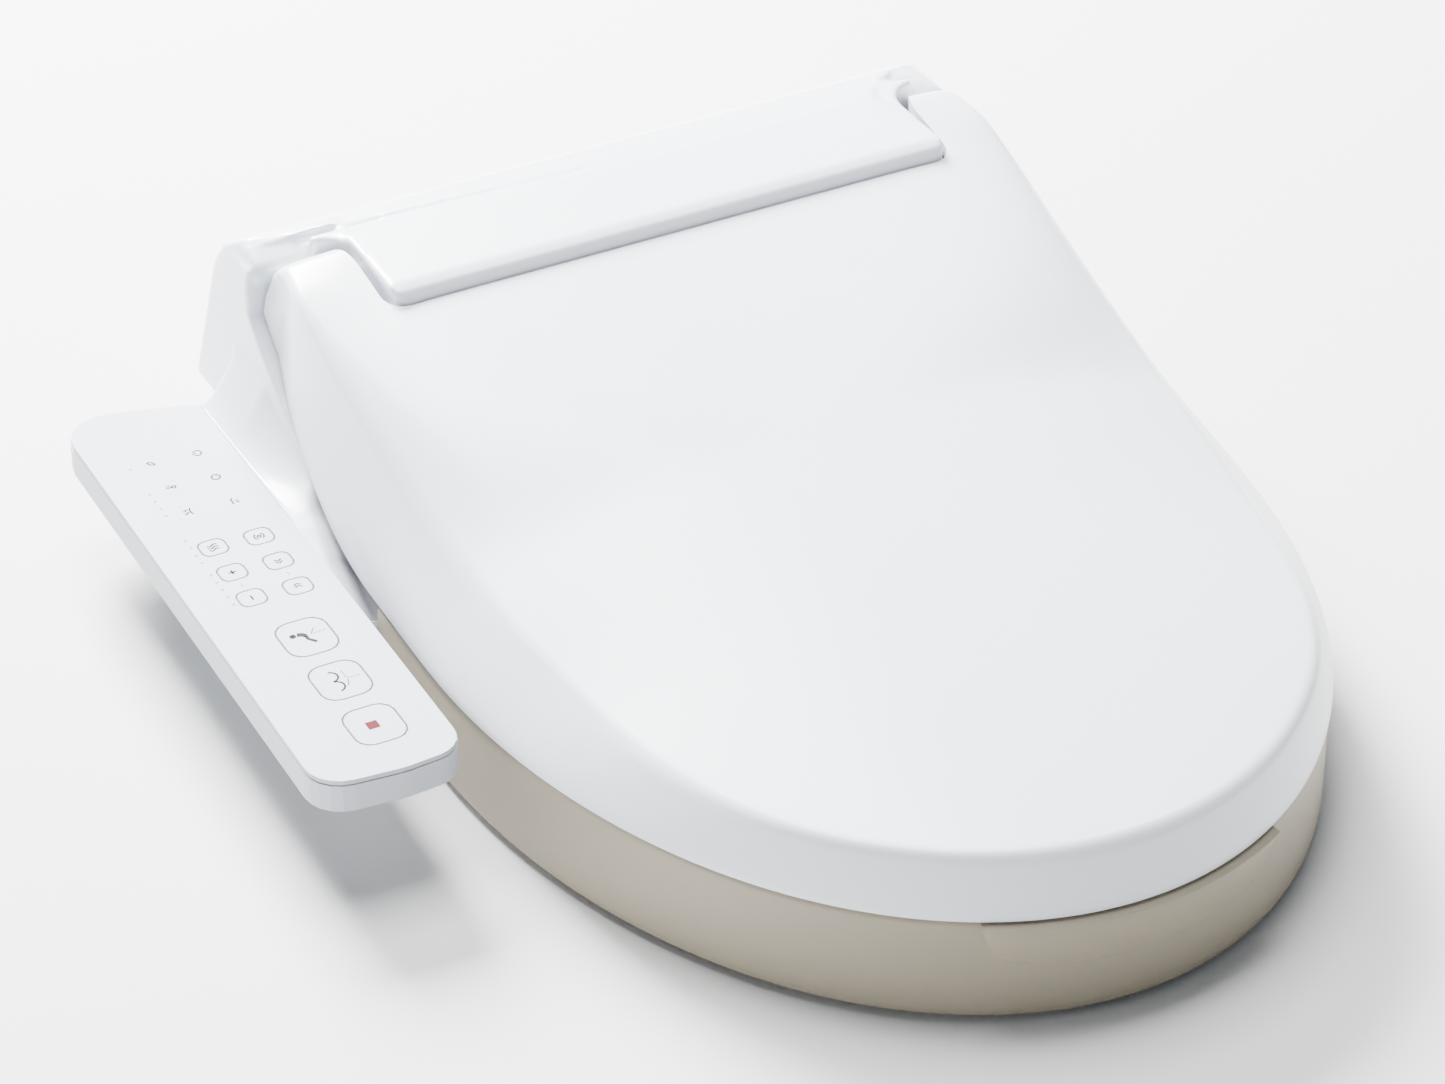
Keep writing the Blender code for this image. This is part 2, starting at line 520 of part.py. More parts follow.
def air_path():
    centre_y, centre_z = -0.028, 0.042
    shell = rod("dryer_housing", (0.052, centre_y, centre_z), (1, 0, 0), 0.0275, 0.042, (GREY, 0.5), 28)
    hollow = rod("dryer_hollow", (0.054, centre_y, centre_z), (1, 0, 0), 0.0255, 0.038, sides=28)
    eye = rod("dryer_eye", (0.040, centre_y, centre_z), (1, 0, 0), 0.012, 0.03)
    outlet = box("dryer_outlet", (0.058, -0.080, 0.0190), (0.088, centre_y - 0.010, 0.0310))
    cut(shell, hollow, eye, outlet)
    impeller("dryer_impeller", (0.0865, centre_y, centre_z), (-1, 0, 0), 0.0225, 0.024)
    duct = box("dryer_duct", (0.0565, BODY_FRONT + 0.0035, 0.0155), (0.0915, -0.0560, 0.0335), (GREY, 0.5))
    cut(duct, box("duct_way", (0.0585, -0.2, 0.0175), (0.0895, 0.0, 0.0315)))
    flap = [(BODY_FRONT - 0.0008, 0.0148), (BODY_FRONT + 0.0008, 0.0148), (BODY_FRONT + 0.0008, 0.0330),
            (BODY_FRONT - 0.0008, 0.0330)]
    prism("dryer_flap", flap, "x", 0.0555, 0.0945, (WHITE, 0.3), origin=(0.075, BODY_FRONT, 0.0325))
    fan = rod("deodoriser_housing", (0.140, -0.026, 0.0130), (0, 0, 1), 0.0240, 0.0210, (GREY, 0.5), 24)
    fan_hollow = rod("deodoriser_hollow", (0.140, -0.026, 0.0150), (0, 0, 1), 0.0220, 0.0170, sides=24)
    fan_eye = rod("deodoriser_eye", (0.140, -0.026, 0.025), (0, 0, 1), 0.010, 0.02)
    throat = box("deodoriser_throat", (0.130, -0.060, 0.0180), (0.150, -0.040, 0.0290))
    cut(fan, fan_hollow, fan_eye, throat)
    impeller("deodoriser_impeller", (0.140, -0.026, 0.0165), (0, 0, 1), 0.0190, 0.0120, 9)
    cartridge = pad("carbon_cartridge", (0.124, -0.0980, 0.0140), (BASE_X + 0.0010, -0.0620, 0.0340), 0.002,
                    ((0.16, 0.16, 0.17), 0.6), steps=2)
    for k in range(5):
        x = 0.130 + 0.008 * k
        cut(cartridge, box("cartridge_cell_%d" % k, (x, -0.094, 0.0170), (x + 0.0055, -0.066, 0.05)))


# ---------------------------------------------------------------- electrics and small fittings
def electrics():
    board = box("main_board", (0.030, -0.100, 0.0850), (0.126, -0.010, 0.0866), ((0.05, 0.22, 0.10), 0.5))
    parts = [box("relay", (0.040, -0.090, 0.0860), (0.058, -0.070, 0.1000)),
             box("transformer", (0.085, -0.060, 0.0860), (0.115, -0.030, 0.1090)),
             rod("capacitor", (0.070, -0.080, 0.0860), (0, 0, 1), 0.006, 0.018, sides=14)]
    unite(board, *parts)
    gland = [(0.0032, 0), (0.0058, 0), (0.0058, 0.0060), (0.0085, 0.0065), (0.0085, 0.0100), (0.0050, 0.0200),
             (0.0032, 0.0200), (0.0032, 0)]
    turned("cord_gland", gland, (0.110, BASE_BACK - 0.0060, 0.026), (0, 1, 0), (DARK, 0.6), 18)
    button = [(0.0072, 0), (0.0072, 0.0110), (0.0064, 0.0120)]
    turned("release_button", button, (BASE_X - 0.0048, -0.010, 0.026), (1, 0, 0), (GREY, 0.4), 20)
    for side in (-1, 1):
        name = "hinge_damper_" + ("right" if side > 0 else "left")
        damper = [(0.0078, 0), (0.0078, 0.034), (PIN_R, 0.0342), (PIN_R, 0.0620)]
        turned(name, damper, (side * 0.0950, HINGE_Y, HINGE_Z), (side, 0, 0), ((0.6, 0.6, 0.62), 0.3, 1.0), 18)


# ---------------------------------------------------------------- seat
def seat_outer(angle, inset):
    """A point of the seat's outline; behind the corners it steps in to pass between the unit's two shoulders."""
    x, y = superellipse(angle, WIDEST_Y, HALF_WIDTH - 0.001 - inset, WIDEST_Y - FRONT_Y - 0.001 - inset,
                        SEAT_BACK - WIDEST_Y - inset, FRONT_POWER, 9)
    step = min(1.0, max(0.0, (abs(x) + inset - 0.156) / 0.008))
    return x, min(y, SEAT_BACK - inset - (SEAT_BACK - SEAT_CORNER) * step * step * (3 - 2 * step))


def seat_ring(share, inset, z, steps=56):
    """A ring between the seat's outer outline (share 0) and its hole (share 1)."""
    ring = []
    for k in range(steps):
        angle = 2 * math.pi * k / steps
        ox, oy = seat_outer(angle, inset)
        ix, iy = superellipse(angle, HOLE_Y, HOLE_HALF_WIDTH + inset, HOLE_FRONT + inset, HOLE_BACK + inset,
                              2.1, 2.4)
        ring.append((ox + (ix - ox) * share, oy + (iy - oy) * share, z))
    return ring


def seat_arm(side, name):
    """The arm that carries the seat from its hinge pin."""
    eye = [(HINGE_Y + 0.0044 * math.cos(a), HINGE_Z + 0.0044 * math.sin(a))
           for a in (math.radians(-60 + 30 * k) for k in range(7))]
    arm = eye + [(-0.118, 0.0600), (-0.128, 0.0570), (-0.128, 0.0460), (-0.1165, 0.0470)]
    span = sorted((side * 0.1415, side * 0.1510))
    return prism(name, arm, "x", *span)


def seat():
    rings = [seat_ring(0, 0, SEAT_LOW), seat_ring(0, 0, SEAT_EDGE_Z - 0.0015),
             seat_ring(0, 0.0012, SEAT_EDGE_Z), seat_ring(0, 0.0038, SEAT_EDGE_Z + 0.0002),
             seat_ring(0, 0.0098, 0.0558),
             seat_ring(0.25, 0, 0.0593), seat_ring(0.45, 0, SEAT_TOP), seat_ring(0.80, 0, 0.0580),
             seat_ring(0.95, 0, 0.0540), seat_ring(1, 0, 0.0480), seat_ring(1, 0, SEAT_LOW),
             seat_ring(1, SKIN, SEAT_LOW)]
    under = [seat_ring(1, SKIN, 0.0470), seat_ring(0.80, 0, 0.0545), seat_ring(0.45, 0, SEAT_TOP - SKIN),
             seat_ring(0.25, 0, 0.0563), seat_ring(0.0, SKIN + 0.0076, 0.0527), seat_ring(0, SKIN + 0.0012, 0.0475),
             seat_ring(0, SKIN, SEAT_LOW)]
    shell = loft("seat_shell", rings + under, (TAN, 0.45), closed=True)
    lip_rings = []
    count = 20
    for k in range(count + 1):
        share = -1 + 2 * k / count
        angle = math.radians(-90 + 19.7 * share)
        ends = max(0.0, 1 - abs(share) ** 6) ** 0.5
        low = 0.0480 - 0.0215 * ends
        section = []
        for offset, z in ((-0.0030, low), (-0.0005, low), (0.0042, 0.0488), (0.0036, 0.0494), (-0.0030, 0.0497)):
            x, y = superellipse(angle, WIDEST_Y, HALF_WIDTH - 0.001 + offset, WIDEST_Y - FRONT_Y - 0.001 + offset,
                                0.1, FRONT_POWER, 2)
            section.append((x, y, z))
        lip_rings.append(section)
    unite(shell, loft("finger_lip", lip_rings))
    for side in (-1, 1):
        unite(shell, seat_arm(side, "arm_%d" % side))
        cut(shell, rod("arm_bore_%d" % side, (side * 0.13, HINGE_Y, HINGE_Z), (side, 0, 0), PIN_R + PIN_CLEAR,
                       0.04))
    passage = box("nozzle_passage", (-0.050, -0.20, -0.02), (0.099, -0.10, 0.0360))
    cut(shell, passage)
    base = loft("seat_base", [seat_ring(0, SKIN + GAP, SEAT_LOW), seat_ring(0, SKIN + GAP, SEAT_LOW + 0.0025),
                              seat_ring(1, SKIN + GAP, SEAT_LOW + 0.0025), seat_ring(1, SKIN + GAP, SEAT_LOW)],
                (TAN, 0.5), closed=True)
    cut(base, box("base_passage", (-0.056, -0.20, -0.02), (0.105, -0.10, 0.0400)))
    sheet = [seat_ring(0.31, 0, 0.0545), seat_ring(0.45, 0, 0.0560), seat_ring(0.70, 0, 0.0540),
             seat_ring(0.70, 0, 0.0532), seat_ring(0.45, 0, 0.0552), seat_ring(0.31, 0, 0.0537)]
    loft("seat_heater", sheet, ((0.75, 0.55, 0.25), 0.4, 0.8), closed=True)
    for name, x, y in (("front_left", -0.105, -0.385), ("front_right", 0.105, -0.385),
                       ("back_left", -0.148, -0.180), ("back_right", 0.148, -0.180)):
        turned("seat_bumper_" + name, [(0.0080, 0), (0.0090, 0.0008), (0.0090, SEAT_LOW - GAP)], (x, y, 0),
               (0, 0, 1), (DARK, 0.7), 16)


# ---------------------------------------------------------------- lid
def lid_side_ring(level, back, skin=0.0):
    """A ring of the side wall: level 0 is the lower edge and 1 just under the crease."""
    ring = []
    for x, y in lid_outline(level ** 1.25, skin, back):
        top = crease_height(y) - skin - 0.0035
        ring.append((x, y, LID_LOW + (top - LID_LOW) * level))
    return ring


def lid_top_ring(share, drop, skin, back, inward=0.0):
    """A ring on the top: the crease scaled towards the middle by the share and moved inward."""
    centre = Vector((0, -0.230))
    ring = []
    for x, y in lid_outline(1.0, skin, back):
        arm = Vector((x, y)) - centre
        spot = centre + arm * share - arm.normalized() * inward
        ring.append((spot.x, spot.y, lid_height(spot.x, spot.y) - drop))
    return ring


def lid_solid(name, skin, back, look=None):
    """The lid filled in, drawn in by the skin thickness."""
    rings = [[(x, y, 0.02) for x, y in lid_outline(0.0, skin, back)]]
    rings += [lid_side_ring(level, back, skin) for level in (0.0, 0.5, 1.0)]
    rings += [lid_top_ring(1.0, skin + 0.0012, skin, back, 0.0022), lid_top_ring(1.0, skin, skin, back, 0.0070)]
    rings += [lid_top_ring(share, skin, skin, back) for share in (0.86, 0.70, 0.50, 0.30, 0.10)]
    return loft(name, rings, look)


def lid():
    back = HINGE_Y + 0.0170
    shell = lid_solid("lid_shell", 0.0, back, (WHITE, 0.25))
    far = [(-0.60, LID_LOW), (-0.60, 0.30), (HINGE_Y - 0.0012, 0.30)]
    outside = far + ear_contour(0)
    combine(shell, prism("lid_contour", outside, "x", -0.3, 0.3), "INTERSECT")
    room = lid_solid("lid_room", SKIN, back)
    ear_inner = [(HINGE_Y + 0.0082 * math.cos(a), HINGE_Z + 0.0082 * math.sin(a))
                 for a in (math.radians(90 - 20 * k) for k in range(6))]
    inside = [(-0.60, -0.10), (-0.60, 0.30), (HINGE_Y, 0.30)] + ear_inner + [(-0.0280, 0.1030), (-0.034, -0.10)]
    combine(room, prism("room_contour", inside, "x", -0.3, 0.3), "INTERSECT")
    cut(shell, room)
    notch = rounded([(-NOTCH_X, NOTCH_Y), (NOTCH_X, NOTCH_Y), (NOTCH_X, 0.03), (-NOTCH_X, 0.03)],
                    [0.009, 0.009, 0, 0], 5)
    for side in (-1, 1):
        cheek = [(-0.0900, 0.0700), (-0.0900, 0.1270), (HINGE_Y, 0.1360)] + ear_contour(-0.0005)[2:-4]
        plate = prism("ear_plate_%d" % side, cheek, "x", *sorted((side * 0.1372, side * 0.1398)))
        boss = rod("ear_boss_%d" % side, (side * 0.1520, HINGE_Y, HINGE_Z), (side, 0, 0), 0.0052, 0.0096)
        unite(shell, plate, boss)
    cut(shell, prism("lid_notch", notch, "z", 0, 0.3))
    for side in (-1, 1):
        bore = rod("lid_bore_%d" % side, (side * 0.1300, HINGE_Y, HINGE_Z), (side, 0, 0),
                   PIN_R + PIN_CLEAR, 0.0276)
        arm_way = box("arm_way_%d" % side, (min(side * 0.1404, side * 0.1536), -0.0425, 0.05),
                      (max(side * 0.1404, side * 0.1536), 0.0, 0.1287))
        eye_way = rod("eye_way_%d" % side, (side * 0.1406, HINGE_Y, HINGE_Z), (side, 0, 0), 0.0050, 0.0112)
        cut(shell, bore, arm_way, eye_way)
        name = "lid_bumper_" + ("right" if side > 0 else "left")
        x, y = side * 0.132, -0.330
        top = lid_height(x, y) - SKIN - 0.0036
        turned(name, [(0.0045, 0), (0.0060, 0.002), (0.0070, top - 0.0612)], (x, y, 0.0612), (0, 0, 1),
               (DARK, 0.7), 14)


mounting_plate()
base_case()
panel_bracket()
top_cover()
control_panel()
nozzle()
water_path()
air_path()
electrics()
seat()
lid()
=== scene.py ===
import json
import math

import bmesh
import bpy
from mathutils import Matrix, Vector


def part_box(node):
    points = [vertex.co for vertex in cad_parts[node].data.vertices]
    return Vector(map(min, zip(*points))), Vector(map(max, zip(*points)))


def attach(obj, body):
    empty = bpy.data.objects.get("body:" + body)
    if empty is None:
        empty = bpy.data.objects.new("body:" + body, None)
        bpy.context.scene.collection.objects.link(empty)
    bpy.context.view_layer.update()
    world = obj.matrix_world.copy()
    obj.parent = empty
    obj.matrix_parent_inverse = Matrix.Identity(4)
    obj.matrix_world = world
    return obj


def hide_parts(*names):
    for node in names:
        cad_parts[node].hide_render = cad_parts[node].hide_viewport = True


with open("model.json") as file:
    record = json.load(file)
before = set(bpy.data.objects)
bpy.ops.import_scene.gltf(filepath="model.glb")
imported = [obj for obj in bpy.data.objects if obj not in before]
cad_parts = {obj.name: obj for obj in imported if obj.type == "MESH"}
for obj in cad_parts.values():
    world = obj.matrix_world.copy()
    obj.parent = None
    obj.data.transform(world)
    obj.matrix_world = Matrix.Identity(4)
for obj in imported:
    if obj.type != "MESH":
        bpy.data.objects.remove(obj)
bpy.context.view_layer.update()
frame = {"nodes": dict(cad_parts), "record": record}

# ---------------------------------------------------------------- dimensions shared with the CAD, in metres
HINGE_Y, HINGE_Z, EAR_R = -0.028, 0.129, 0.0112
FRONT_Y, WIDEST_Y = -0.470, -0.212
HALF_WIDTH, EAR_HALF_WIDTH, FRONT_POWER = 0.1856, 0.1688, 2.0
LID_LOW, LID_SLOPE, LID_FRONT_Z = 0.051, 0.1395, 0.078
CREASE_LOW, CREASE_Y = 0.0770, -0.315
NOTCH_Y, NOTCH_X, NOTCH_R = -0.0715, 0.1365, 0.0105
SEAT_LOW, SEAT_TOP, SEAT_BACK, SEAT_CORNER = 0.003, 0.0605, -0.118, -0.1555
HOLE_Y, HOLE_HALF_WIDTH, HOLE_FRONT, HOLE_BACK = -0.272, 0.106, 0.128, 0.114
PANEL_TOP = 0.058
LID_SKIN, SEAT_SKIN = 0.0026, 0.003
SEAT_INSET = 0.001              # how far the seat stays inside the lid's outline
ARM_X = (0.1415, 0.1510)        # inner and outer side of the seat's arms
COVER_EDGE_X = -0.1948          # the cover's left edge, along the panel


# ---------------------------------------------------------------- camera and light
TARGET = Vector((-0.0564, -0.220, 0.0809))
AZIMUTH, ELEVATION, DISTANCE = math.radians(-27.5), math.radians(35), 2.2


def aim(thing, target):
    """Turns a camera or a lamp towards a point."""
    thing.rotation_euler = (thing.location - Vector(target)).to_track_quat("Z", "Y").to_euler()


def area_light(name, place, size, power, colour=(1, 1, 1), target=(0, -0.22, 0.05)):
    lamp = bpy.data.lights.new(name, "AREA")
    lamp.size, lamp.energy, lamp.color = size, power, colour
    thing = bpy.data.objects.new(name, lamp)
    thing.location = place
    aim(thing, target)
    bpy.context.scene.collection.objects.link(thing)


camera = bpy.data.objects.new("camera", bpy.data.cameras.new("camera"))
camera.data.lens, camera.data.sensor_width = 133.0, 36
bpy.context.scene.collection.objects.link(camera)
camera.location = TARGET + DISTANCE * Vector((math.sin(AZIMUTH) * math.cos(ELEVATION),
                                              -math.cos(AZIMUTH) * math.cos(ELEVATION), math.sin(ELEVATION)))
aim(camera, TARGET)
bpy.context.scene.camera = camera

world = bpy.data.worlds.new("studio")
world.use_nodes = True
world.node_tree.nodes["Background"].inputs["Color"].default_value = (0.84, 0.92, 1.0, 1)
world.node_tree.nodes["Background"].inputs["Strength"].default_value = 0.31
bpy.context.scene.world = world
area_light("back", (-0.05, 1.80, 1.55), 1.1, 590, (1.0, 0.995, 0.99))
area_light("top", (-0.05, 0.30, 2.30), 1.3, 115)
area_light("left", (-2.30, -0.10, 0.40), 0.9, 16)


# ---------------------------------------------------------------- materials
def tree_of(name):
    """A new material, its node tree and its Principled BSDF."""
    made = bpy.data.materials.new(name)
    made.use_nodes = True
    return made, made.node_tree, made.node_tree.nodes["Principled BSDF"]


def plastic(name, colour, rough, grain=900.0, relief=0.04, spread=0.05, coat=0.0, tint=0.03, metal=0.0,
            shine=0.5):
    """Moulded plastic, rubber or metal: fine surface relief, uneven gloss and a slight drift of colour."""
    made, tree, shader = tree_of(name)
    node, link = tree.nodes.new, tree.links.new
    place = node("ShaderNodeTexCoord")
    fine = node("ShaderNodeTexNoise")
    fine.inputs["Scale"].default_value = grain
    fine.inputs["Detail"].default_value = 3
    wide = node("ShaderNodeTexNoise")
    wide.inputs["Scale"].default_value = 9
    wide.inputs["Detail"].default_value = 4
    for texture in (fine, wide):
        link(place.outputs["Object"], texture.inputs["Vector"])
    gloss = node("ShaderNodeMapRange")
    gloss.inputs["To Min"].default_value = rough - spread
    gloss.inputs["To Max"].default_value = rough + spread
    link(wide.outputs["Fac"], gloss.inputs["Value"])
    link(gloss.outputs["Result"], shader.inputs["Roughness"])
    shade = node("ShaderNodeMix")
    shade.data_type = "RGBA"
    shade.inputs["A"].default_value = (*[c * (1 - tint) for c in colour], 1)
    shade.inputs["B"].default_value = (*[min(1, c * (1 + tint)) for c in colour], 1)
    link(wide.outputs["Fac"], shade.inputs["Factor"])
    link(shade.outputs["Result"], shader.inputs["Base Color"])
    bump = node("ShaderNodeBump")
    bump.inputs["Strength"].default_value = relief
    bump.inputs["Distance"].default_value = 0.0002
    link(fine.outputs["Fac"], bump.inputs["Height"])
    link(bump.outputs["Normal"], shader.inputs["Normal"])
    shader.inputs["Metallic"].default_value = metal
    shader.inputs["Coat Weight"].default_value = coat
    shader.inputs["Specular IOR Level"].default_value = shine
    shader.inputs["Coat Roughness"].default_value = 0.12
    return made


LOOKS = {
    "white_plastic": plastic("white_plastic", (0.76, 0.795, 0.85), 0.30, 700, 0.05, 0.05, coat=0.2),
    "panel_plastic": plastic("panel_plastic", (0.47, 0.50, 0.55), 0.52, 1400, 0.10, 0.05, shine=0.25),
    "tan_plastic": plastic("tan_plastic", (0.30, 0.262, 0.195), 0.45, 1500, 0.12, 0.05, tint=0.04,
                           shine=0.35),
    "grey_plastic": plastic("grey_plastic", (0.26, 0.27, 0.29), 0.50, 1500, 0.22, 0.06, tint=0.06),
    "housing_plastic": plastic("housing_plastic", (0.55, 0.56, 0.56), 0.48, 1200, 0.15, 0.06),
    "nozzle_plastic": plastic("nozzle_plastic", (0.72, 0.73, 0.75), 0.22, 600, 0.04, 0.04, coat=0.3),
    "rubber": plastic("rubber", (0.022, 0.022, 0.024), 0.72, 1800, 0.35, 0.08, tint=0.15),
    "steel": plastic("steel", (0.62, 0.63, 0.65), 0.30, 2600, 0.12, 0.08, metal=1.0),
    "circuit_board": plastic("circuit_board", (0.02, 0.13, 0.05), 0.35, 700, 0.25, 0.08, tint=0.25),
    "carbon_black": plastic("carbon_black", (0.045, 0.045, 0.05), 0.62, 1600, 0.30, 0.08, tint=0.12),
    "heater_foil": plastic("heater_foil", (0.75, 0.76, 0.77), 0.28, 420, 0.45, 0.10, metal=1.0),
}
PRINT = plastic("printed_grey", (0.012, 0.013, 0.017), 0.65, 1500, 0.08, 0.03, shine=0.1)
OUTLINE = plastic("printed_outline", (0.070, 0.076, 0.088), 0.65, 1500, 0.08, 0.03, shine=0.1)
RED = plastic("printed_red", (0.095, 0.0012, 0.006), 0.65, 1500, 0.08, 0.03, shine=0.1)
LAMP = plastic("lamp_window", (0.14, 0.15, 0.17), 0.40, 800, 0.08, 0.03, shine=0.2)


# ---------------------------------------------------------------- mesh helpers
def new_object(name, body, look, points, faces, sharp=35):
    """A mesh object from world points that rides on a CAD body, if one is given."""
    mesh = bpy.data.meshes.new(name)
    mesh.from_pydata([Vector(p) for p in points], [], faces)
    bm = bmesh.new()
    bm.from_mesh(mesh)
    bmesh.ops.remove_doubles(bm, verts=bm.verts, dist=2e-6)
    bmesh.ops.recalc_face_normals(bm, faces=bm.faces)
    bm.to_mesh(mesh)
    bm.free()
    mesh.shade_smooth()
    mesh.set_sharp_from_angle(angle=math.radians(sharp))
    mesh.materials.append(LOOKS[look])
    thing = bpy.data.objects.new(name, mesh)
    bpy.context.scene.collection.objects.link(thing)
    if body:
        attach(thing, body)
    return thing


def capped_grid(rows, columns):
    """Faces of a solid made of closed rings, with a cap at each end."""
    last = (rows - 1) * columns
    caps = [tuple(range(columns)), tuple(range(last, last + columns))]
    return grid_faces(rows, columns, closed=True) + caps


def grid_faces(rows, columns, start=0, closed=False):
    """Quads of a grid of points stored row by row; closed joins the last column to the first."""
    faces = []
    for r in range(rows - 1):
        for c in range(columns if closed else columns - 1):
            a, b = start + r * columns + c, start + r * columns + (c + 1) % columns
            faces.append((a, b, b + columns, a + columns))
    return faces


def bevel(thing, width, segments=3, angle=32):
    """Rounds the edges that are sharper than the angle."""
    step = thing.modifiers.new("edge", "BEVEL")
    step.width, step.segments = width, segments
    step.limit_method, step.angle_limit = "ANGLE", math.radians(angle)
    step.use_clamp_overlap = True
    step.harden_normals = False


def settled(thing):
    """The object's mesh with its modifiers applied, for good."""
    graph = bpy.context.evaluated_depsgraph_get()
    graph.update()
    mesh = bpy.data.meshes.new_from_object(thing.evaluated_get(graph))
    thing.modifiers.clear()
    thing.data = mesh


def smooth_path(points, steps):
    """A Catmull-Rom curve through tuples of any length."""
    out = []
    last = len(points) - 1
    for i in range(last):
        p = [points[max(0, min(last, i + k))] for k in (-1, 0, 1, 2)]
        for s in range(steps):
            t = s / steps
            out.append(tuple(0.5 * (2 * b + (c - a) * t + (2 * a - 5 * b + 4 * c - d) * t * t
                                    + (3 * b - a - 3 * c + d) * t ** 3) for a, b, c, d in zip(*p)))
    return out + [tuple(points[-1])]


def eased(share):
    """A soft step from 0 to 1."""
    share = min(1.0, max(0.0, share))
    return share * share * (3 - 2 * share)


def lerp_table(table, at):
    """The value at a place, read between sorted (place, value) pairs."""
    if at <= table[0][0]:
        return table[0][1]
    for (x0, y0), (x1, y1) in zip(table, table[1:]):
        if at <= x1:
            return y0 + (y1 - y0) * (at - x0) / (x1 - x0)
    return table[-1][1]


# ---------------------------------------------------------------- outlines
EARS_RUN = 0.195                # length over which the sides draw in towards the ears
CREASE_INSET_FRONT, CREASE_INSET_SIDE = 0.005, 0.0188


def half_width(y, inset=0.0):
    """Half the lid's width at y: an ellipse in front of the widest place, a parabola behind it."""
    if y <= WIDEST_Y:
        reach = (WIDEST_Y - y) / (WIDEST_Y - FRONT_Y - inset)
        return (HALF_WIDTH - inset) * max(0.0, 1 - min(1, reach) ** FRONT_POWER) ** (1 / FRONT_POWER)
    return HALF_WIDTH - (HALF_WIDTH - EAR_HALF_WIDTH) * ((y - WIDEST_Y) / EARS_RUN) ** 2 - inset


def superellipse(angle, centre_y, half, front, back, front_power, back_power):
    """A point of an egg-shaped outline, with its own reach and power towards each end."""
    c, s = math.cos(angle), math.sin(angle)
    power, reach = (back_power, back) if s > 0 else (front_power, front)
    return (half * math.copysign(abs(c) ** (2 / power), c),
            centre_y + reach * math.copysign(abs(s) ** (2 / power), s))


def lid_inset(y):
    """How far the crease along the lid's edge lies inside the outline."""
    if y <= WIDEST_Y:
        return CREASE_INSET_FRONT + (CREASE_INSET_SIDE - CREASE_INSET_FRONT) * eased((y + 0.410) / 0.150)
    return CREASE_INSET_SIDE - 0.0104 * min(1.0, (y - WIDEST_Y) / 0.167) ** 1.25


def crease_height(y):
    """The crease rises in a parabola towards the ears and levels off softly at the cap."""
    if y <= CREASE_Y:
        return CREASE_LOW + 0.001 * eased((CREASE_Y - y) / 0.11)
    rise = CREASE_LOW + 0.82 * (y - CREASE_Y) ** 2
    cap, soft = 0.1362, 0.003
    return rise - soft * math.log(1 + math.exp((rise - cap) / soft))


def lid_height(x, y):
    """The lid's top: a sloping middle that falls to the crease at its sides."""
    middle = LID_FRONT_Z + LID_SLOPE * (y - FRONT_Y)
    across = min(1.0, abs(x) / max(0.02, half_width(y, lid_inset(y))))
    flatness = 2.4 + 8.6 * eased((y - WIDEST_Y) / 0.14)
    return middle - max(0.0, middle - crease_height(y)) * across ** flatness


CONTOUR = smooth_path([(-0.1750, LID_LOW), (-0.1450, LID_LOW), (-0.1200, 0.0535), (-0.0970, 0.0590),
                       (-0.0730, 0.0680), (-0.0550, 0.0770), (-0.0410, 0.0860), (-0.0257, 0.0977),
                       (-0.0135, 0.1100)], 8)


def contour_height(y):
    """The height of the lid's lower edge, which climbs along the ears."""
    return max(LID_LOW, lerp_table(CONTOUR, y))


# ---------------------------------------------------------------- lid
def lid_spot(entry, lean, skin):
    """A point in plan: entry is ("angle", a) on the front half or ("y", y) behind it."""
    kind, value = entry
    if kind == "angle":
        def spot(inset):
            return superellipse(value, WIDEST_Y, HALF_WIDTH - inset, WIDEST_Y - FRONT_Y - inset, 0.1,
                                FRONT_POWER, 2)
        return spot(skin + lean * lid_inset(spot(0.010)[1]))
    return half_width(value, skin + lean * lid_inset(value)), value


EAR_ROUND, EAR_RUN = 0.0115, 0.021
EAR_REAR_X = 0.1542             # the ears' rear faces start here, outside the seat's arms
CORNER = 0.0035                 # height of the rounding below the crease
FILLET = 0.0055                 # width of the rounding inside the crease
BAND_STEPS, FILLET_STEPS = 9, 6
FRONT_STEPS, SIDE_STEPS, EAR_STEPS = 56, 34, 9
NOTCH_STEPS, TOP_EAR_STEPS = 26, 8


def lid_profile(entry, roll=None):
    """Points from the lower edge up the side and over the crease, on the +X side."""
    plan_y = lid_spot(entry, 1.0, 0)[1]
    crease = crease_height(plan_y)
    top = crease - CORNER
    low = contour_height(lid_spot(entry, 0.0, 0)[1])
    first = (low - LID_LOW) / (top - LID_LOW)
    points = []
    for k in range(BAND_STEPS + 1):
        level = first + (1 - first) * k / BAND_STEPS
        x, y = lid_spot(entry, level ** 1.25, 0)
        points.append((x, y, LID_LOW + (top - LID_LOW) * level))
    ahead = 1 + 1.25 * CORNER / (top - LID_LOW)
    middle = (*lid_spot(entry, ahead, 0), crease)
    inner = lid_spot(entry, 1.0, FILLET)
    inner = (*inner, lid_height(*inner))
    start = points[-1]
    for k in range(1, FILLET_STEPS + 1):
        t = k / FILLET_STEPS
        points.append(tuple((1 - t) ** 2 * a + 2 * t * (1 - t) * b + t * t * c
                            for a, b, c in zip(start, middle, inner)))
    return points if roll is None else [rolled(p, roll) for p in points]


def rolled(point, angle):
    """Moves a point of the ear's last row round its rear end; angle 90 degrees is the row itself."""
    x, _, z = point
    below = min(1.0, max(0.0, (HINGE_Z - z) / 0.019))
    y = HINGE_Y + math.cos(angle) * (EAR_R + 0.0033 * below)
    if z > HINGE_Z:
        z = HINGE_Z + (z - HINGE_Z) * math.sin(angle)
    else:
        floor = contour_height(HINGE_Y)
        share = (z - floor) / (HINGE_Z - floor)
        low = contour_height(y)
        z = low + (HINGE_Z - low) * share
    return x, y, z


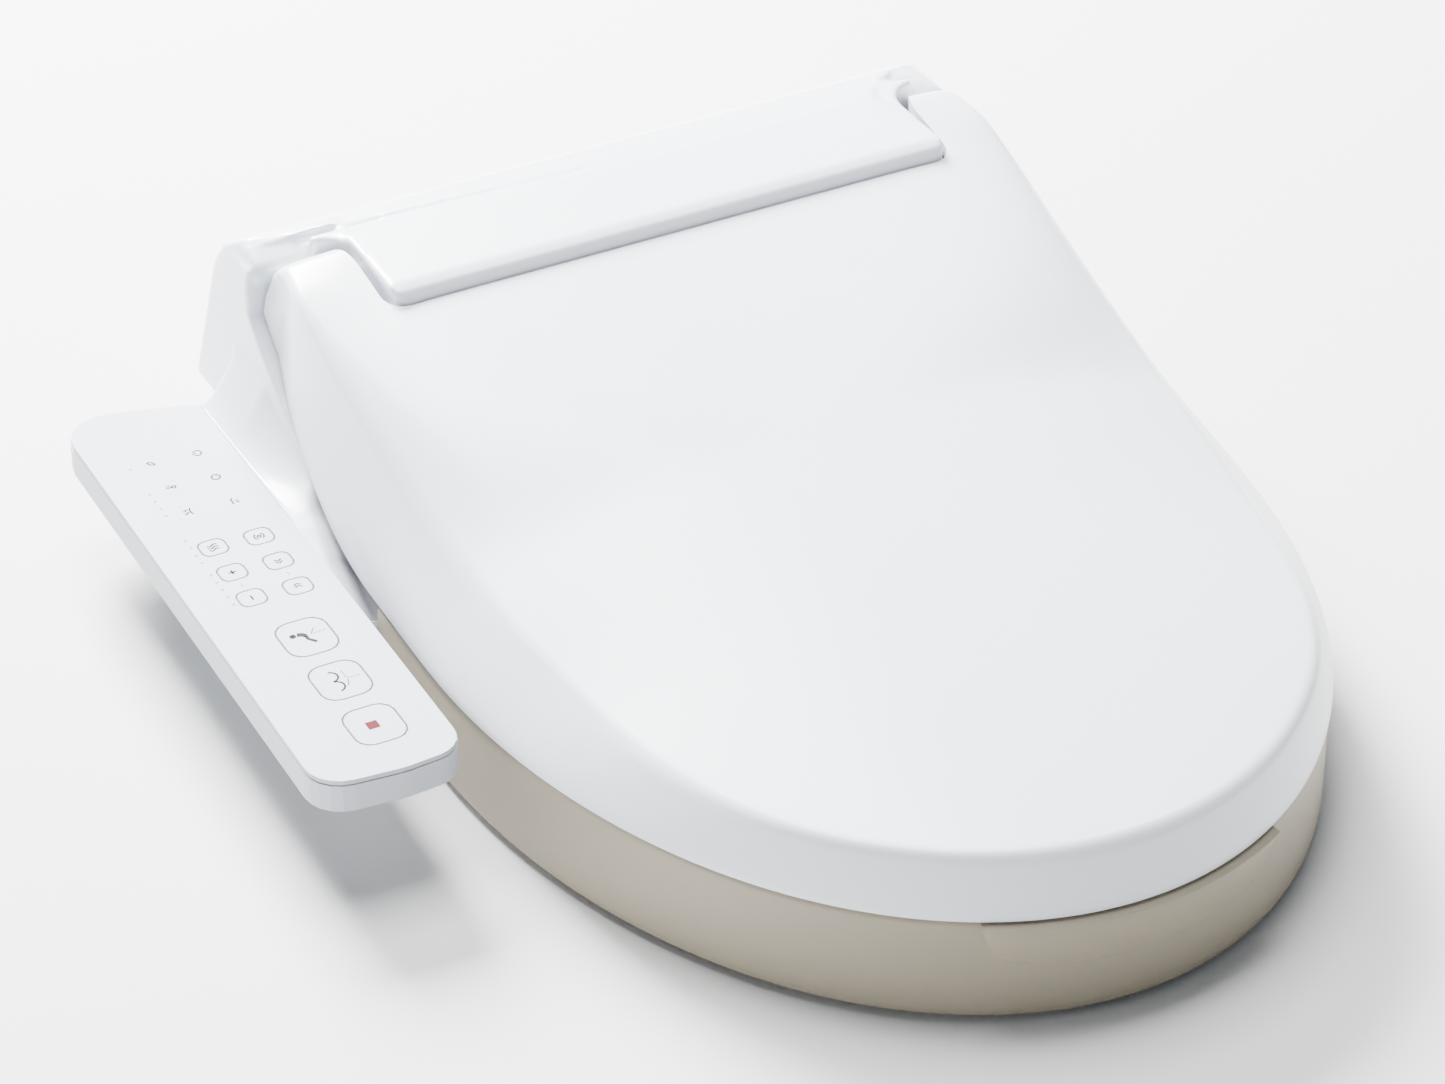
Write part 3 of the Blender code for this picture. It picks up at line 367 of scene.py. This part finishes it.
def ear_inner(y):
    """The ear's inner side in plan, rounded at its rear corner."""
    reach = min(1.0, max(0.0, (y - HINGE_Y - EAR_R + EAR_RUN) / EAR_RUN))
    return NOTCH_X + EAR_ROUND * (1 - math.sqrt(1 - reach ** 2))


def flared(point):
    """Widens the ears a little towards their rear ends, the panel's side more than the other."""
    x, y, z = point
    reach = eased((y + 0.175) / 0.130) * eased((abs(x) - NOTCH_X - 0.003) / 0.018)
    return x + (0.0012 if x > 0 else -0.0042) * reach, y, z


def lid():
    """The lid as one sheet of quads, given its thickness by a Solidify modifier."""
    front = [("angle", math.radians(-90 + 90 * (k / FRONT_STEPS))) for k in range(FRONT_STEPS + 1)]
    side = [("y", WIDEST_Y + (NOTCH_Y - WIDEST_Y) * k / SIDE_STEPS) for k in range(1, SIDE_STEPS + 1)]
    ear_front = NOTCH_Y + NOTCH_R
    ear_ys = [ear_front + (HINGE_Y - ear_front) * k / EAR_STEPS for k in range(EAR_STEPS + 1)]
    entries = [(e, None) for e in front + side] + [(("y", y), None) for y in ear_ys]
    rolls = [math.radians(90 - 10 * k) for k in range(1, 10)]
    entries += [(("y", HINGE_Y), a) for a in rolls]
    notch_row = len(front) + len(side) - 1
    profiles = [lid_profile(e, a) for e, a in entries]
    points, faces = [], []

    def put(rows):
        start = len(points)
        columns = len(rows[0])
        points.extend(p for row in rows for p in row)
        faces.extend(grid_faces(len(rows), columns, start))

    def mirrored(rows):
        return [[(-x, y, z) for x, y, z in row] for row in rows]

    put(profiles)
    put(mirrored(profiles))

    # columns of the top: those inside the notch stop there, those outside run on over the ears
    edge = profiles[notch_row][-1][0]
    inner = [(NOTCH_X - NOTCH_R) * k / NOTCH_STEPS for k in range(NOTCH_STEPS + 1)]
    outer = [NOTCH_X + (edge - NOTCH_X) * k / TOP_EAR_STEPS for k in range(TOP_EAR_STEPS + 1)]
    columns = [-x for x in reversed(inner[1:] + outer)] + inner + outer
    rows = []
    for k in range(notch_row + 1):
        x_edge, y, _ = profiles[k][-1]
        rows.append([(c / edge * x_edge, y, lid_height(c / edge * x_edge, y)) for c in columns])
    put(rows)
    ear_rows = []
    for k in range(notch_row, len(entries)):
        x_edge = profiles[k][-1][0]
        (_, y), roll = entries[k]
        row = []
        rear_y = y if roll is None else HINGE_Y + EAR_R * math.cos(roll)
        start_x = ear_inner(rear_y)
        for c in outer:
            x = start_x + (c - NOTCH_X) * (x_edge - start_x) / (edge - NOTCH_X)
            spot = (x, y, lid_height(x, y))
            row.append(spot if roll is None else rolled(spot, roll))
        ear_rows.append(row)
    # the ear's rear face, down to its lower end
    for spot in reversed(profiles[-1][:-1]):
        if spot[2] < HINGE_Z - 0.0004:
            ear_rows.append([(EAR_REAR_X + (spot[0] - EAR_REAR_X) * k / TOP_EAR_STEPS, spot[1], spot[2])
                             for k in range(TOP_EAR_STEPS + 1)])
    put(ear_rows)
    put(mirrored(ear_rows))

    # rounded corners of the notch, then a wall round it
    centre = (NOTCH_X - NOTCH_R, NOTCH_Y + NOTCH_R)
    arc = [(centre[0] + NOTCH_R * math.sin(a), centre[1] - NOTCH_R * math.cos(a))
           for a in (math.radians(10 * k) for k in range(10))]
    for mirror in (1, -1):
        start = len(points)
        points.append((mirror * NOTCH_X, NOTCH_Y, lid_height(NOTCH_X, NOTCH_Y)))
        points.extend((mirror * x, y, lid_height(x, y)) for x, y in arc)
        faces.extend((start, start + k, start + k + 1) for k in range(1, len(arc)))
    right = [p for p in ear_rows if p[0][1] > NOTCH_Y + NOTCH_R * 0.5]
    rim = [(x, NOTCH_Y, lid_height(x, NOTCH_Y)) for x in inner[:-1]]
    rim += [(x, y, lid_height(x, y)) for x, y in arc]
    rim += [row[0] for row in right[1:]]
    wall = []
    for x, y, z in rim:
        in_arms_way = x > NOTCH_X + 0.002   # the wall is shallow where the open lid passes the seat's arm
        depth = 0.002 if in_arms_way else 0.006 + 0.020 * eased((y - ear_front) / 0.045)
        bottom = z - depth
        if y > ear_front:
            bottom = max(bottom, contour_height(min(y, -0.0135)) + 0.001)
        bottom = min(bottom, z - 0.0005)
        wall.append([(x, y, z), (x, y, z + (bottom - z) * 0.35), (x, y, bottom)])
    put(wall)
    put(mirrored(wall))
    skin = new_object("lid_skin", "lid", "white_plastic", [flared(p) for p in points], faces, 50)
    if sum(p.normal.z * p.area for p in skin.data.polygons) < 0:
        skin.data.flip_normals()
    thick = skin.modifiers.new("thickness", "SOLIDIFY")
    thick.thickness, thick.offset = LID_SKIN, -1
    bevel(skin, 0.00045, 2, 62)
    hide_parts("lid_shell")
    for side_sign in (-1, 1):
        boss(side_sign)


def boss(side_sign):
    """The ring on the ear's inner side that the hinge pin runs in."""
    base = Vector((side_sign * 0.1520, HINGE_Y, HINGE_Z))
    profile = [(0.0030, 0), (0.0052, 0), (0.0052, 0.0075), (0.0066, 0.0088), (0.0030, 0.0088), (0.0030, 0)]
    sides = 48
    axis = Vector((side_sign, 0, 0))
    arm = axis.orthogonal().normalized()
    points = []
    for radius, height in profile:
        for k in range(sides):
            turn = Matrix.Rotation(2 * math.pi * k / sides, 3, axis)
            points.append(base + axis * height + turn @ arm * radius)
    new_object("lid_boss_" + ("right" if side_sign > 0 else "left"), "lid", "white_plastic", points,
               grid_faces(len(profile), sides, closed=True))


# ---------------------------------------------------------------- seat
def seat_spot(angle, share, inset):
    """A point between the seat's outer outline (share 0) and its hole (share 1)."""
    ox, oy = superellipse(angle, WIDEST_Y, HALF_WIDTH - SEAT_INSET - inset,
                          WIDEST_Y - FRONT_Y - SEAT_INSET - inset, SEAT_BACK - WIDEST_Y - inset,
                          FRONT_POWER, 9)
    oy = min(oy, SEAT_BACK - inset - (SEAT_BACK - SEAT_CORNER) * eased((abs(ox) + inset - 0.156) / 0.008))
    ix, iy = superellipse(angle, HOLE_Y, HOLE_HALF_WIDTH + inset, HOLE_FRONT + inset, HOLE_BACK + inset,
                          2.1, 2.4)
    return ox + (ix - ox) * share, oy + (iy - oy) * share


def seat():
    """The seat's shell, from (share, inset, height) rings up its side, over the top and back under."""
    outside = [(0, 0, 0.0040), (0, 0, 0.012), (0, 0, 0.025), (0, 0, 0.038), (0, 0, 0.0470),
               (0, 0.0005, 0.0488), (0, 0.0016, 0.0498), (0, 0.0034, 0.0501), (0, 0.0050, 0.0508),
               (0, 0.0070, 0.0532), (0, 0.0098, 0.0558)]
    top = [(0, 0.0098, 0.0558), (0.12, 0.0050, 0.0580), (0.25, 0, 0.0593), (0.45, 0, SEAT_TOP),
           (0.65, 0, 0.0598), (0.80, 0, 0.0580), (0.90, 0, 0.0556), (0.965, 0, 0.0525), (0.995, 0, 0.0490),
           (1, 0, 0.0440), (1, 0, 0.030), (1, 0, 0.015), (1, 0, 0.0042), (1, 0.0010, SEAT_LOW)]
    under = [(1, SEAT_SKIN, SEAT_LOW), (1, SEAT_SKIN, 0.0470), (0.80, 0, 0.0545),
             (0.45, 0, SEAT_TOP - SEAT_SKIN), (0.25, 0, 0.0563), (0, SEAT_SKIN + 0.0076, 0.0527),
             (0, SEAT_SKIN + 0.0012, 0.0475), (0, SEAT_SKIN, SEAT_LOW), (0, 0.0010, SEAT_LOW)]
    rings = smooth_path(outside, 2)[:-1] + smooth_path(top, 4) + under
    steps = 176
    points = []
    for share, inset, z in rings:
        points += [(*seat_spot(2 * math.pi * k / steps, share, inset), z) for k in range(steps)]
    faces = grid_faces(len(rings), steps, closed=True)
    last = (len(rings) - 1) * steps
    faces += [(last + k, last + (k + 1) % steps, (k + 1) % steps, k) for k in range(steps)]
    skin = new_object("seat_skin", "seat", "tan_plastic", points, faces, 50)
    box = [(x, y, z) for x in (-0.050, 0.099) for y in (-0.20, -0.10) for z in (-0.02, 0.0360)]
    sides = [(0, 1, 3, 2), (4, 6, 7, 5), (0, 4, 5, 1), (2, 3, 7, 6), (0, 2, 6, 4), (1, 5, 7, 3)]
    way = new_object("way", None, "tan_plastic", box, sides)    # the rear opening for nozzle and dryer
    opening = skin.modifiers.new("way", "BOOLEAN")
    opening.operation, opening.solver, opening.object = "DIFFERENCE", "EXACT", way
    settled(skin)
    skin.data.set_sharp_from_angle(angle=math.radians(50))
    bpy.data.objects.remove(way, do_unlink=True)
    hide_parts("seat_shell")
    for side_sign in (-1, 1):
        seat_arm(side_sign)
    seat_lip()


def seat_arm(side_sign):
    """The arm from the hinge pin to the seat's rear edge, rounded all along."""
    spine = smooth_path([(HINGE_Y, HINGE_Z), (-0.050, 0.1145), (-0.080, 0.0890), (-0.105, 0.0665),
                         (-0.126, 0.0530)], 6)
    middle, half = sum(ARM_X) / 2, (ARM_X[1] - ARM_X[0]) / 2
    corner = 0.45                           # the section is a superellipse with this exponent
    points = []
    count = 20
    for i, (y, z) in enumerate(spine):
        ahead = spine[min(i + 1, len(spine) - 1)]
        behind = spine[max(i - 1, 0)]
        run = Vector((0, ahead[0] - behind[0], ahead[1] - behind[1])).normalized()
        over = Vector((0, -run.z, run.y))
        tall = 0.0044 + 0.0020 * min(1, i / 12)
        for k in range(count):
            a = 2 * math.pi * k / count
            across = math.copysign(abs(math.cos(a)) ** corner, math.cos(a))
            up = math.copysign(abs(math.sin(a)) ** corner, math.sin(a))
            points.append(Vector((side_sign * (middle + across * half), y, z)) + over * up * tall)
    name = "seat_arm_" + ("right" if side_sign > 0 else "left")
    new_object(name, "seat", "tan_plastic", points, capped_grid(len(spine), count), 60)


def seat_lip():
    """The finger lip under the lid's front edge."""
    reach, out = 20.9, 0.0046               # degrees to each side, and how far it stands out
    points = []
    count = 56
    for k in range(count + 1):
        share = -1 + 2 * k / count
        angle = math.radians(-90 + reach * share)
        ends = max(0.0, 1 - abs(share) ** 7) ** 0.5
        low = 0.0476 - 0.0211 * ends
        section = [(-0.0030, low - 0.0002), (-0.0004, low), (0.0002, low + 0.0004),
                   (out * 0.32, low + 0.0052 * ends), (out * 0.74, 0.0462 - 0.0030 * ends), (out, 0.0482),
                   (out - 0.0002, 0.0489), (out - 0.0010, 0.0493), (0.0005, 0.0497), (-0.0030, 0.0497)]
        for offset, z in section:
            x, y = superellipse(angle, WIDEST_Y, HALF_WIDTH - SEAT_INSET + offset,
                                WIDEST_Y - FRONT_Y - SEAT_INSET + offset, 0.1, FRONT_POWER, 2)
            points.append((x, y, max(z, low - 0.0002)))
    new_object("seat_lip", "seat", "tan_plastic", points, capped_grid(count + 1, len(section)), 40)


# ---------------------------------------------------------------- cover
ARM_TOP = [(-0.1500, 0.0430), (-0.1320, 0.0475), (-0.1145, 0.0525), (-0.1000, 0.0566), (-0.0900, 0.0578),
           (-0.0800, 0.0580), (0.0060, 0.0580)]
ARM_CREASE = [(-0.1530, -0.1940), (-0.1200, -0.1915), (-0.0900, -0.1865), (-0.0700, -0.1790)]


def cheek_flow():
    """The left cheek's sweep from under the lid's ear down to the panel, as a closed solid."""
    outer, inner = COVER_EDGE_X, -0.1725
    rows, width = 70, 22
    points = []
    for r in range(rows + 1):
        y = 0.0060 + (-0.1135 - 0.0060) * r / rows
        base = lerp_table(ARM_TOP, y)
        high = min(0.0935, contour_height(min(y - 0.0004, -0.0135)) - 0.0022)
        high = max(base + 0.0004, high - 0.10 * max(0.0, y + 0.012))
        for c in range(width):
            t = c / (width - 1)
            points.append((outer + (inner - outer) * t, y, base + (high - base) * t ** 1.35))
        points += [(inner, y, 0.044), (outer, y, 0.044)]
    return points, capped_grid(rows + 1, width + 2)


def hump_foot(side_sign):
    """Fills the corner between the hump's side and the strip behind the ear with a curve."""
    radius, x0, y0 = 0.0135, 0.1335, -0.0135
    plan = [(x0 + radius * (1 - math.cos(a)), y0 - radius * (1 - math.sin(a)))
            for a in (math.radians(10 * k) for k in range(10))]
    plan += [(x0 + radius, y0 + 0.004), (x0 - 0.004, y0 + 0.004), (x0 - 0.004, y0 - radius)]
    points = [(side_sign * x, y, z) for z in (0.112, 0.1395) for x, y in plan]
    return points, capped_grid(2, len(plan))


def strip_fillet(side_sign):
    """The soft shoulder between the cover's top and the wall behind the ear."""
    section = [(-0.0118, 0.1080), (-0.0118, 0.1225), (-0.0140, 0.1268), (-0.0143, 0.1292), (-0.0136, 0.1312),
               (-0.0115, 0.1330), (-0.0078, 0.1349), (-0.0030, 0.1371), (0.0020, 0.1386), (0.0020, 0.1080)]
    fall = {-1: [(0.1600, 0.1412), (0.1680, 0.1398), (0.1735, 0.1360), (0.1762, 0.1300), (0.1776, 0.1220)],
            1: [(0.1180, 0.1412), (0.1400, 0.1396), (0.1540, 0.1362), (0.1630, 0.1305), (0.1690, 0.1220),
                (0.1735, 0.1100)]}[side_sign]
    start, end, steps = 0.128, 0.1735, 24
    xs = [start + (end - start) * k / steps for k in range(steps + 1)]
    points = [(side_sign * x, y, min(z, lerp_table(fall, x) - 0.0006 * (z - 0.108) / 0.033))
              for x in xs for y, z in section]
    return points, capped_grid(len(xs), len(section))


def cover_solids():
    """The CAD cover, with a gentler strip behind the ears, and the finer solids that overlap it."""
    source = frame["nodes"]["top_cover"]
    matrix = source.matrix_world.copy()
    points = [matrix @ v.co for v in source.data.vertices]
    for p in points:
        if abs(p.x) > 0.1330 and -0.0125 < p.y < -0.0035 and p.z > 0.1345:
            p.y, p.z = (p.y + 0.0045, p.z - 0.0026) if p.z > 0.139 else (p.y, p.z - 0.0042)
    faces = [tuple(p.vertices) for p in source.data.polygons]
    for more, extra in (cheek_flow(), hump_foot(-1), hump_foot(1), strip_fillet(-1), strip_fillet(1)):
        start = len(points)
        points += [Vector(p) for p in more]
        faces += [tuple(i + start for i in face) for face in extra]
    return points, faces


def shape_arm(vertices):
    """Keeps the arm's edge crisp along the panel, and lets it fall away under the lid."""
    crisp_x, crisp_depth = -0.1912, 0.0018
    fall_start, fall_run, fall_most = -0.070, 0.018, 0.011
    for v in vertices:
        top = lerp_table(ARM_TOP, v.co.y)
        if v.co.x < crisp_x and -0.130 < v.co.y < 0.0035 and top - crisp_depth < v.co.z < top:
            v.co.z = top
        past = v.co.x - lerp_table(ARM_CREASE, v.co.y)
        if past > 0 and -0.1525 < v.co.y < fall_start and v.co.x < -0.150 and v.co.z > 0.030:
            share = eased((fall_start - v.co.y) / fall_run)
            v.co.z -= share * min(fall_most, 0.85 * past * past / (past + 0.0012))


def cover():
    """The cover: its CAD solid and the finer cheek merged, with every edge softened."""
    points, faces = cover_solids()
    mesh = bpy.data.meshes.new("cover_skin")
    mesh.from_pydata(points, [], faces)
    bm = bmesh.new()
    bm.from_mesh(mesh)
    bmesh.ops.remove_doubles(bm, verts=bm.verts, dist=1e-6)
    bmesh.ops.recalc_face_normals(bm, faces=bm.faces)
    bm.to_mesh(mesh)
    bm.free()
    skin = bpy.data.objects.new("cover_skin", mesh)
    bpy.context.scene.collection.objects.link(skin)
    step = skin.modifiers.new("merge", "REMESH")
    step.mode, step.voxel_size, step.adaptivity = "VOXEL", 0.0011, 0
    soft = skin.modifiers.new("soft", "SMOOTH")
    soft.factor, soft.iterations = 0.6, 7
    settled(skin)
    shape_arm(skin.data.vertices)
    skin.data.shade_smooth()
    skin.data.materials.clear()
    skin.data.materials.append(LOOKS["white_plastic"])
    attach(skin, "unit")
    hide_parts("top_cover")


# ---------------------------------------------------------------- prints on the panel
class Print:
    """Flat marks on a key or the panel, in millimetres: u runs to the icon's right and v up."""

    def __init__(self, x, y, lift=0.00005):
        self.x, self.y, self.z = x, y, PANEL_TOP + lift
        self.points, self.faces = [], []
        self.size, self.weight = 1.0, 1.0

    def spot(self, u, v):
        """The world point of a place on the mark."""
        return self.x - v * self.size / 1000, self.y + u * self.size / 1000, self.z

    def fill(self, outline):
        start = len(self.points)
        self.points += [self.spot(u, v) for u, v in outline]
        self.faces.append(tuple(range(start, start + len(outline))))

    def line(self, path, width=0.42, closed=False):
        path = [Vector(p) for p in path]
        count = len(path)
        left, right = [], []
        for i, here in enumerate(path):
            ahead = path[(i + 1) % count] if closed or i < count - 1 else here
            behind = path[i - 1] if closed or i > 0 else here
            run = (ahead - behind).normalized()
            across = Vector((-run.y, run.x)) * width * self.weight / 2
            left.append(here + across)
            right.append(here - across)
        start = len(self.points)
        self.points += [self.spot(*p) for p in left + right]
        for i in range(count if closed else count - 1):
            j = (i + 1) % count
            self.faces.append((start + i, start + j, start + count + j, start + count + i))

    def dot(self, u, v, radius=0.28):
        self.fill([(u + radius * math.cos(a), v + radius * math.sin(a))
                   for a in (math.radians(30 * k) for k in range(12))])

    def arc(self, u, v, radius, first, last, width=0.42, tall=1.0):
        steps = max(6, int(abs(last - first) / 12))
        angles = [math.radians(first + (last - first) * k / steps) for k in range(steps + 1)]
        self.line([(u + radius * math.cos(a), v + radius * tall * math.sin(a)) for a in angles], width)

    def ring(self, u, v, radius, width=0.42):
        self.line([(u + radius * math.cos(a), v + radius * math.sin(a))
                   for a in (math.radians(15 * k) for k in range(24))], width, True)

    def frame(self, half_u, half_v, corner, width=0.45):
        """A rectangle's outline with rounded corners."""
        path = []
        for cu, cv, first in ((1, 1, 0), (-1, 1, 90), (-1, -1, 180), (1, -1, 270)):
            for k in range(7):
                a = math.radians(first + 15 * k)
                path.append((cu * (half_u - corner) + corner * math.cos(a),
                             cv * (half_v - corner) + corner * math.sin(a)))
        self.line(path, width, True)

    def make(self, name, body, look):
        mesh = bpy.data.meshes.new(name)
        mesh.from_pydata(self.points, [], self.faces)
        for face in mesh.polygons:
            if face.normal.z < 0:
                face.flip()
        mesh.materials.append(look)
        thing = bpy.data.objects.new(name, mesh)
        bpy.context.scene.collection.objects.link(thing)
        thick = thing.modifiers.new("ink", "SOLIDIFY")
        thick.thickness, thick.offset = 0.00006, -1
        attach(thing, body)
        return thing


def spray(mark, u, v, run, rise, count=5):
    """A row of drops."""
    for k in range(count):
        mark.dot(u + k * run, v + k * rise, 0.30)


def wave(mark, u, low, high, width=0.45):
    """One wavy line of rising air."""
    steps = 16
    mark.line([(u + 0.55 * math.sin(2 * math.pi * k / steps), low + (high - low) * k / steps)
               for k in range(steps + 1)], width)


def icon(name, m):
    """A plain pictogram for each key, drawn on the mark m."""
    if name == "rear_wash":
        m.arc(3.1, 2.8, 3.0, 182, 352, 0.55)
        m.arc(-3.1, 2.8, 3.0, 188, 358, 0.55)
        spray(m, 1.0, -2.7, 0.95, 0.06)
        spray(m, 0.0, -3.2, 0.0, -1.0)
        spray(m, -0.9, -2.6, -0.75, 0.25)
    elif name == "front_wash":
        m.ring(2.5, 4.6, 0.55, 1.0)
        m.line([(2.7, 2.9), (2.2, 1.2), (0.8, -0.1)], 1.5)
        m.line([(0.9, 0.0), (-1.2, 0.1), (-2.7, -1.1), (-4.1, -2.2)], 0.95)
        spray(m, 1.4, -2.4, 0.65, -0.45)
        spray(m, 1.2, -3.4, 0.05, -1.0)
    elif name == "dry":
        for u in (-1.5, 0, 1.5):
            wave(m, u, -2.0, 2.0)
    elif name == "stronger":
        m.line([(-1.5, 0), (1.5, 0)], 0.5)
        m.line([(0, -1.5), (0, 1.5)], 0.5)
    elif name == "weaker":
        m.line([(-1.5, 0), (1.5, 0)], 0.5)
    elif name == "massage":
        m.ring(0, 0, 0.7)
        m.arc(0, 0, 1.9, 30, 150)
        m.arc(0, 0, 1.9, 210, 330)
    elif name in ("spray_back", "spray_front"):
        way = -1 if name == "spray_back" else 1
        for u in (-0.9, 0.5):
            m.line([(way * u, 1.4), (way * (u + 1.1), 0), (way * u, -1.4)], 0.45)
    elif name == "power":
        m.arc(0, 0, 1.7, 125, 415, 0.42)
        m.line([(0, 0.3), (0, 2.2)], 0.42)
    elif name == "deodorise":
        m.ring(0, 0, 1.7)
        for k in range(3):
            a = math.radians(90 + 120 * k)
            m.dot(0.75 * math.cos(a), 0.75 * math.sin(a), 0.26)
    elif name == "nozzle_clean":
        m.line([(-2.0, 1.0), (1.2, 1.0), (2.0, 0.2)], 0.45)
        for u in (-1.0, 0.2):
            m.line([(u, -0.2), (u - 0.5, -1.7)], 0.38)
    elif name == "eco":
        m.arc(0.9, -0.2, 1.9, 90, 200)
        m.arc(-0.6, 1.4, 1.9, 270, 380)
    elif name == "water_heat":
        m.line([(-0.4, 2.0), (-0.4, -0.4)], 0.42)
        m.ring(-0.4, -1.2, 0.75)
        for v in (0.3, 1.2):
            m.line([(0.4, v), (1.3, v)], 0.36)
    elif name == "seat_heat":
        m.arc(0, -1.4, 2.2, 20, 160, 0.42, 0.45)
        for u in (-1.0, 1.0):
            wave(m, u, 0.2, 2.2, 0.36)


def panel_prints():
    """Outlines and pictograms on the keys, and the lamp windows and links beside them."""
    outlined, large_key = 5.5, 10           # half-widths of a key, in mm
    for node in sorted(n for n in frame["nodes"] if n.startswith("key_")):
        (x0, y0, _), (x1, y1, _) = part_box(node)
        x, y = (x0 + x1) / 2, (y0 + y1) / 2
        tall, wide = (x1 - x0) * 500, (y1 - y0) * 500
        short = node.removeprefix("key_")
        if wide > outlined:
            ring = Print(x, y, 0.00004)
            large = wide > large_key
            ring.frame(wide - 0.3, tall - 0.3, 7.0 if large else 3.6, 0.46 if large else 0.42)
            ring.make(node + "_outline", node, OUTLINE)
        else:                               # a film hides the gap round the keys without an outline
            film = Print(x, y, 0.00003)
            film.frame(wide + 0.15, tall + 0.15, 3.2, 1.0)
            film.make(node + "_film", "unit", LOOKS["panel_plastic"])
        mark = Print(x, y)
        if short == "stop":
            mark.fill([(-2.5, -1.6), (2.5, -1.6), (2.5, 3.4), (-2.5, 3.4)])
            mark.make(node + "_print", node, RED)
        else:
            mark.size, mark.weight = 1.12, 1.5
            icon(short, mark)
            mark.make(node + "_print", node, PRINT)
    lamps = Print(-0.2410, 0.0, 0.00004)
    rows = [(-26.1, -26.1, 1), (-47.5, -65.6, 4), (-86.3, -104.4, 4), (-114.2, -137.7, 5)]
    for first, last, count in rows:
        for k in range(count):
            y = first + (last - first) * (k / (count - 1) if count > 1 else 0)
            lamps.dot(y, 0, 0.75)
    lamps.make("panel_lamps", "unit", LAMP)
    links = Print(-0.2121, 0.0, 0.00004)
    for y, v in ((-127.5, 0), (-126.6, 20.4)):
        links.line([(y - 1.1, v), (y + 1.1, v)], 0.36)
    links.make("panel_links", "unit", OUTLINE)


# ---------------------------------------------------------------- carried-over CAD pieces
def dress_nodes():
    """Gives every CAD piece its material and a bevel, as (width, segments), that suits it."""
    replaced = ("lid_shell", "seat_shell", "top_cover")
    usual, of_keys = (0.0004, 2), (0.00028, 2)
    slots = {part["node"]: part["material_slot"] for part in frame["record"]["subparts"]}
    edges = {"panel_face": (0.0006, 3), "panel_case": (0.0012, 3), "mounting_plate": (0.0008, 2),
             "base_case": (0.0006, 2), "panel_bracket": (0.0010, 3), "seat_base": (0.0004, 2),
             "heat_exchanger": (0.0015, 3), "solenoid_valve": (0.0010, 2), "carbon_cartridge": (0.0005, 2),
             "dryer_flap": (0.0004, 2), "dryer_duct": (0.0006, 2), "main_board": (0.0002, 1),
             "release_button": (0.0008, 3), "filter_plug": (0.0007, 3)}
    for name, thing in frame["nodes"].items():
        look = LOOKS[slots[name]]
        thing.data.materials.clear()
        thing.data.materials.append(look)
        width, segments = edges.get(name, of_keys if name.startswith("key_") else usual)
        if name not in replaced:
            bevel(thing, width, segments, 38)


# ---------------------------------------------------------------- floor
def floor():
    """A plain pale floor, just below what the seat rests on."""
    made, tree, shader = tree_of("pale_floor")
    noise = tree.nodes.new("ShaderNodeTexNoise")
    noise.inputs["Scale"].default_value = 40
    ramp = tree.nodes.new("ShaderNodeMapRange")
    ramp.inputs["To Min"].default_value = 0.85
    ramp.inputs["To Max"].default_value = 0.95
    tree.links.new(noise.outputs["Fac"], ramp.inputs["Value"])
    tree.links.new(ramp.outputs["Result"], shader.inputs["Roughness"])
    shader.inputs["Base Color"].default_value = (0.76, 0.76, 0.76, 1)
    shader.inputs["Specular IOR Level"].default_value = 0.1
    mesh = bpy.data.meshes.new("floor")
    far, level = 6, -0.0006
    corners = [(-far, -far, level), (far, -far, level), (far, far, level), (-far, far, level)]
    mesh.from_pydata(corners, [], [(0, 1, 2, 3)])
    mesh.materials.append(made)
    thing = bpy.data.objects.new("floor", mesh)
    bpy.context.scene.collection.objects.link(thing)


dress_nodes()
lid()
seat()
cover()
panel_prints()
floor()
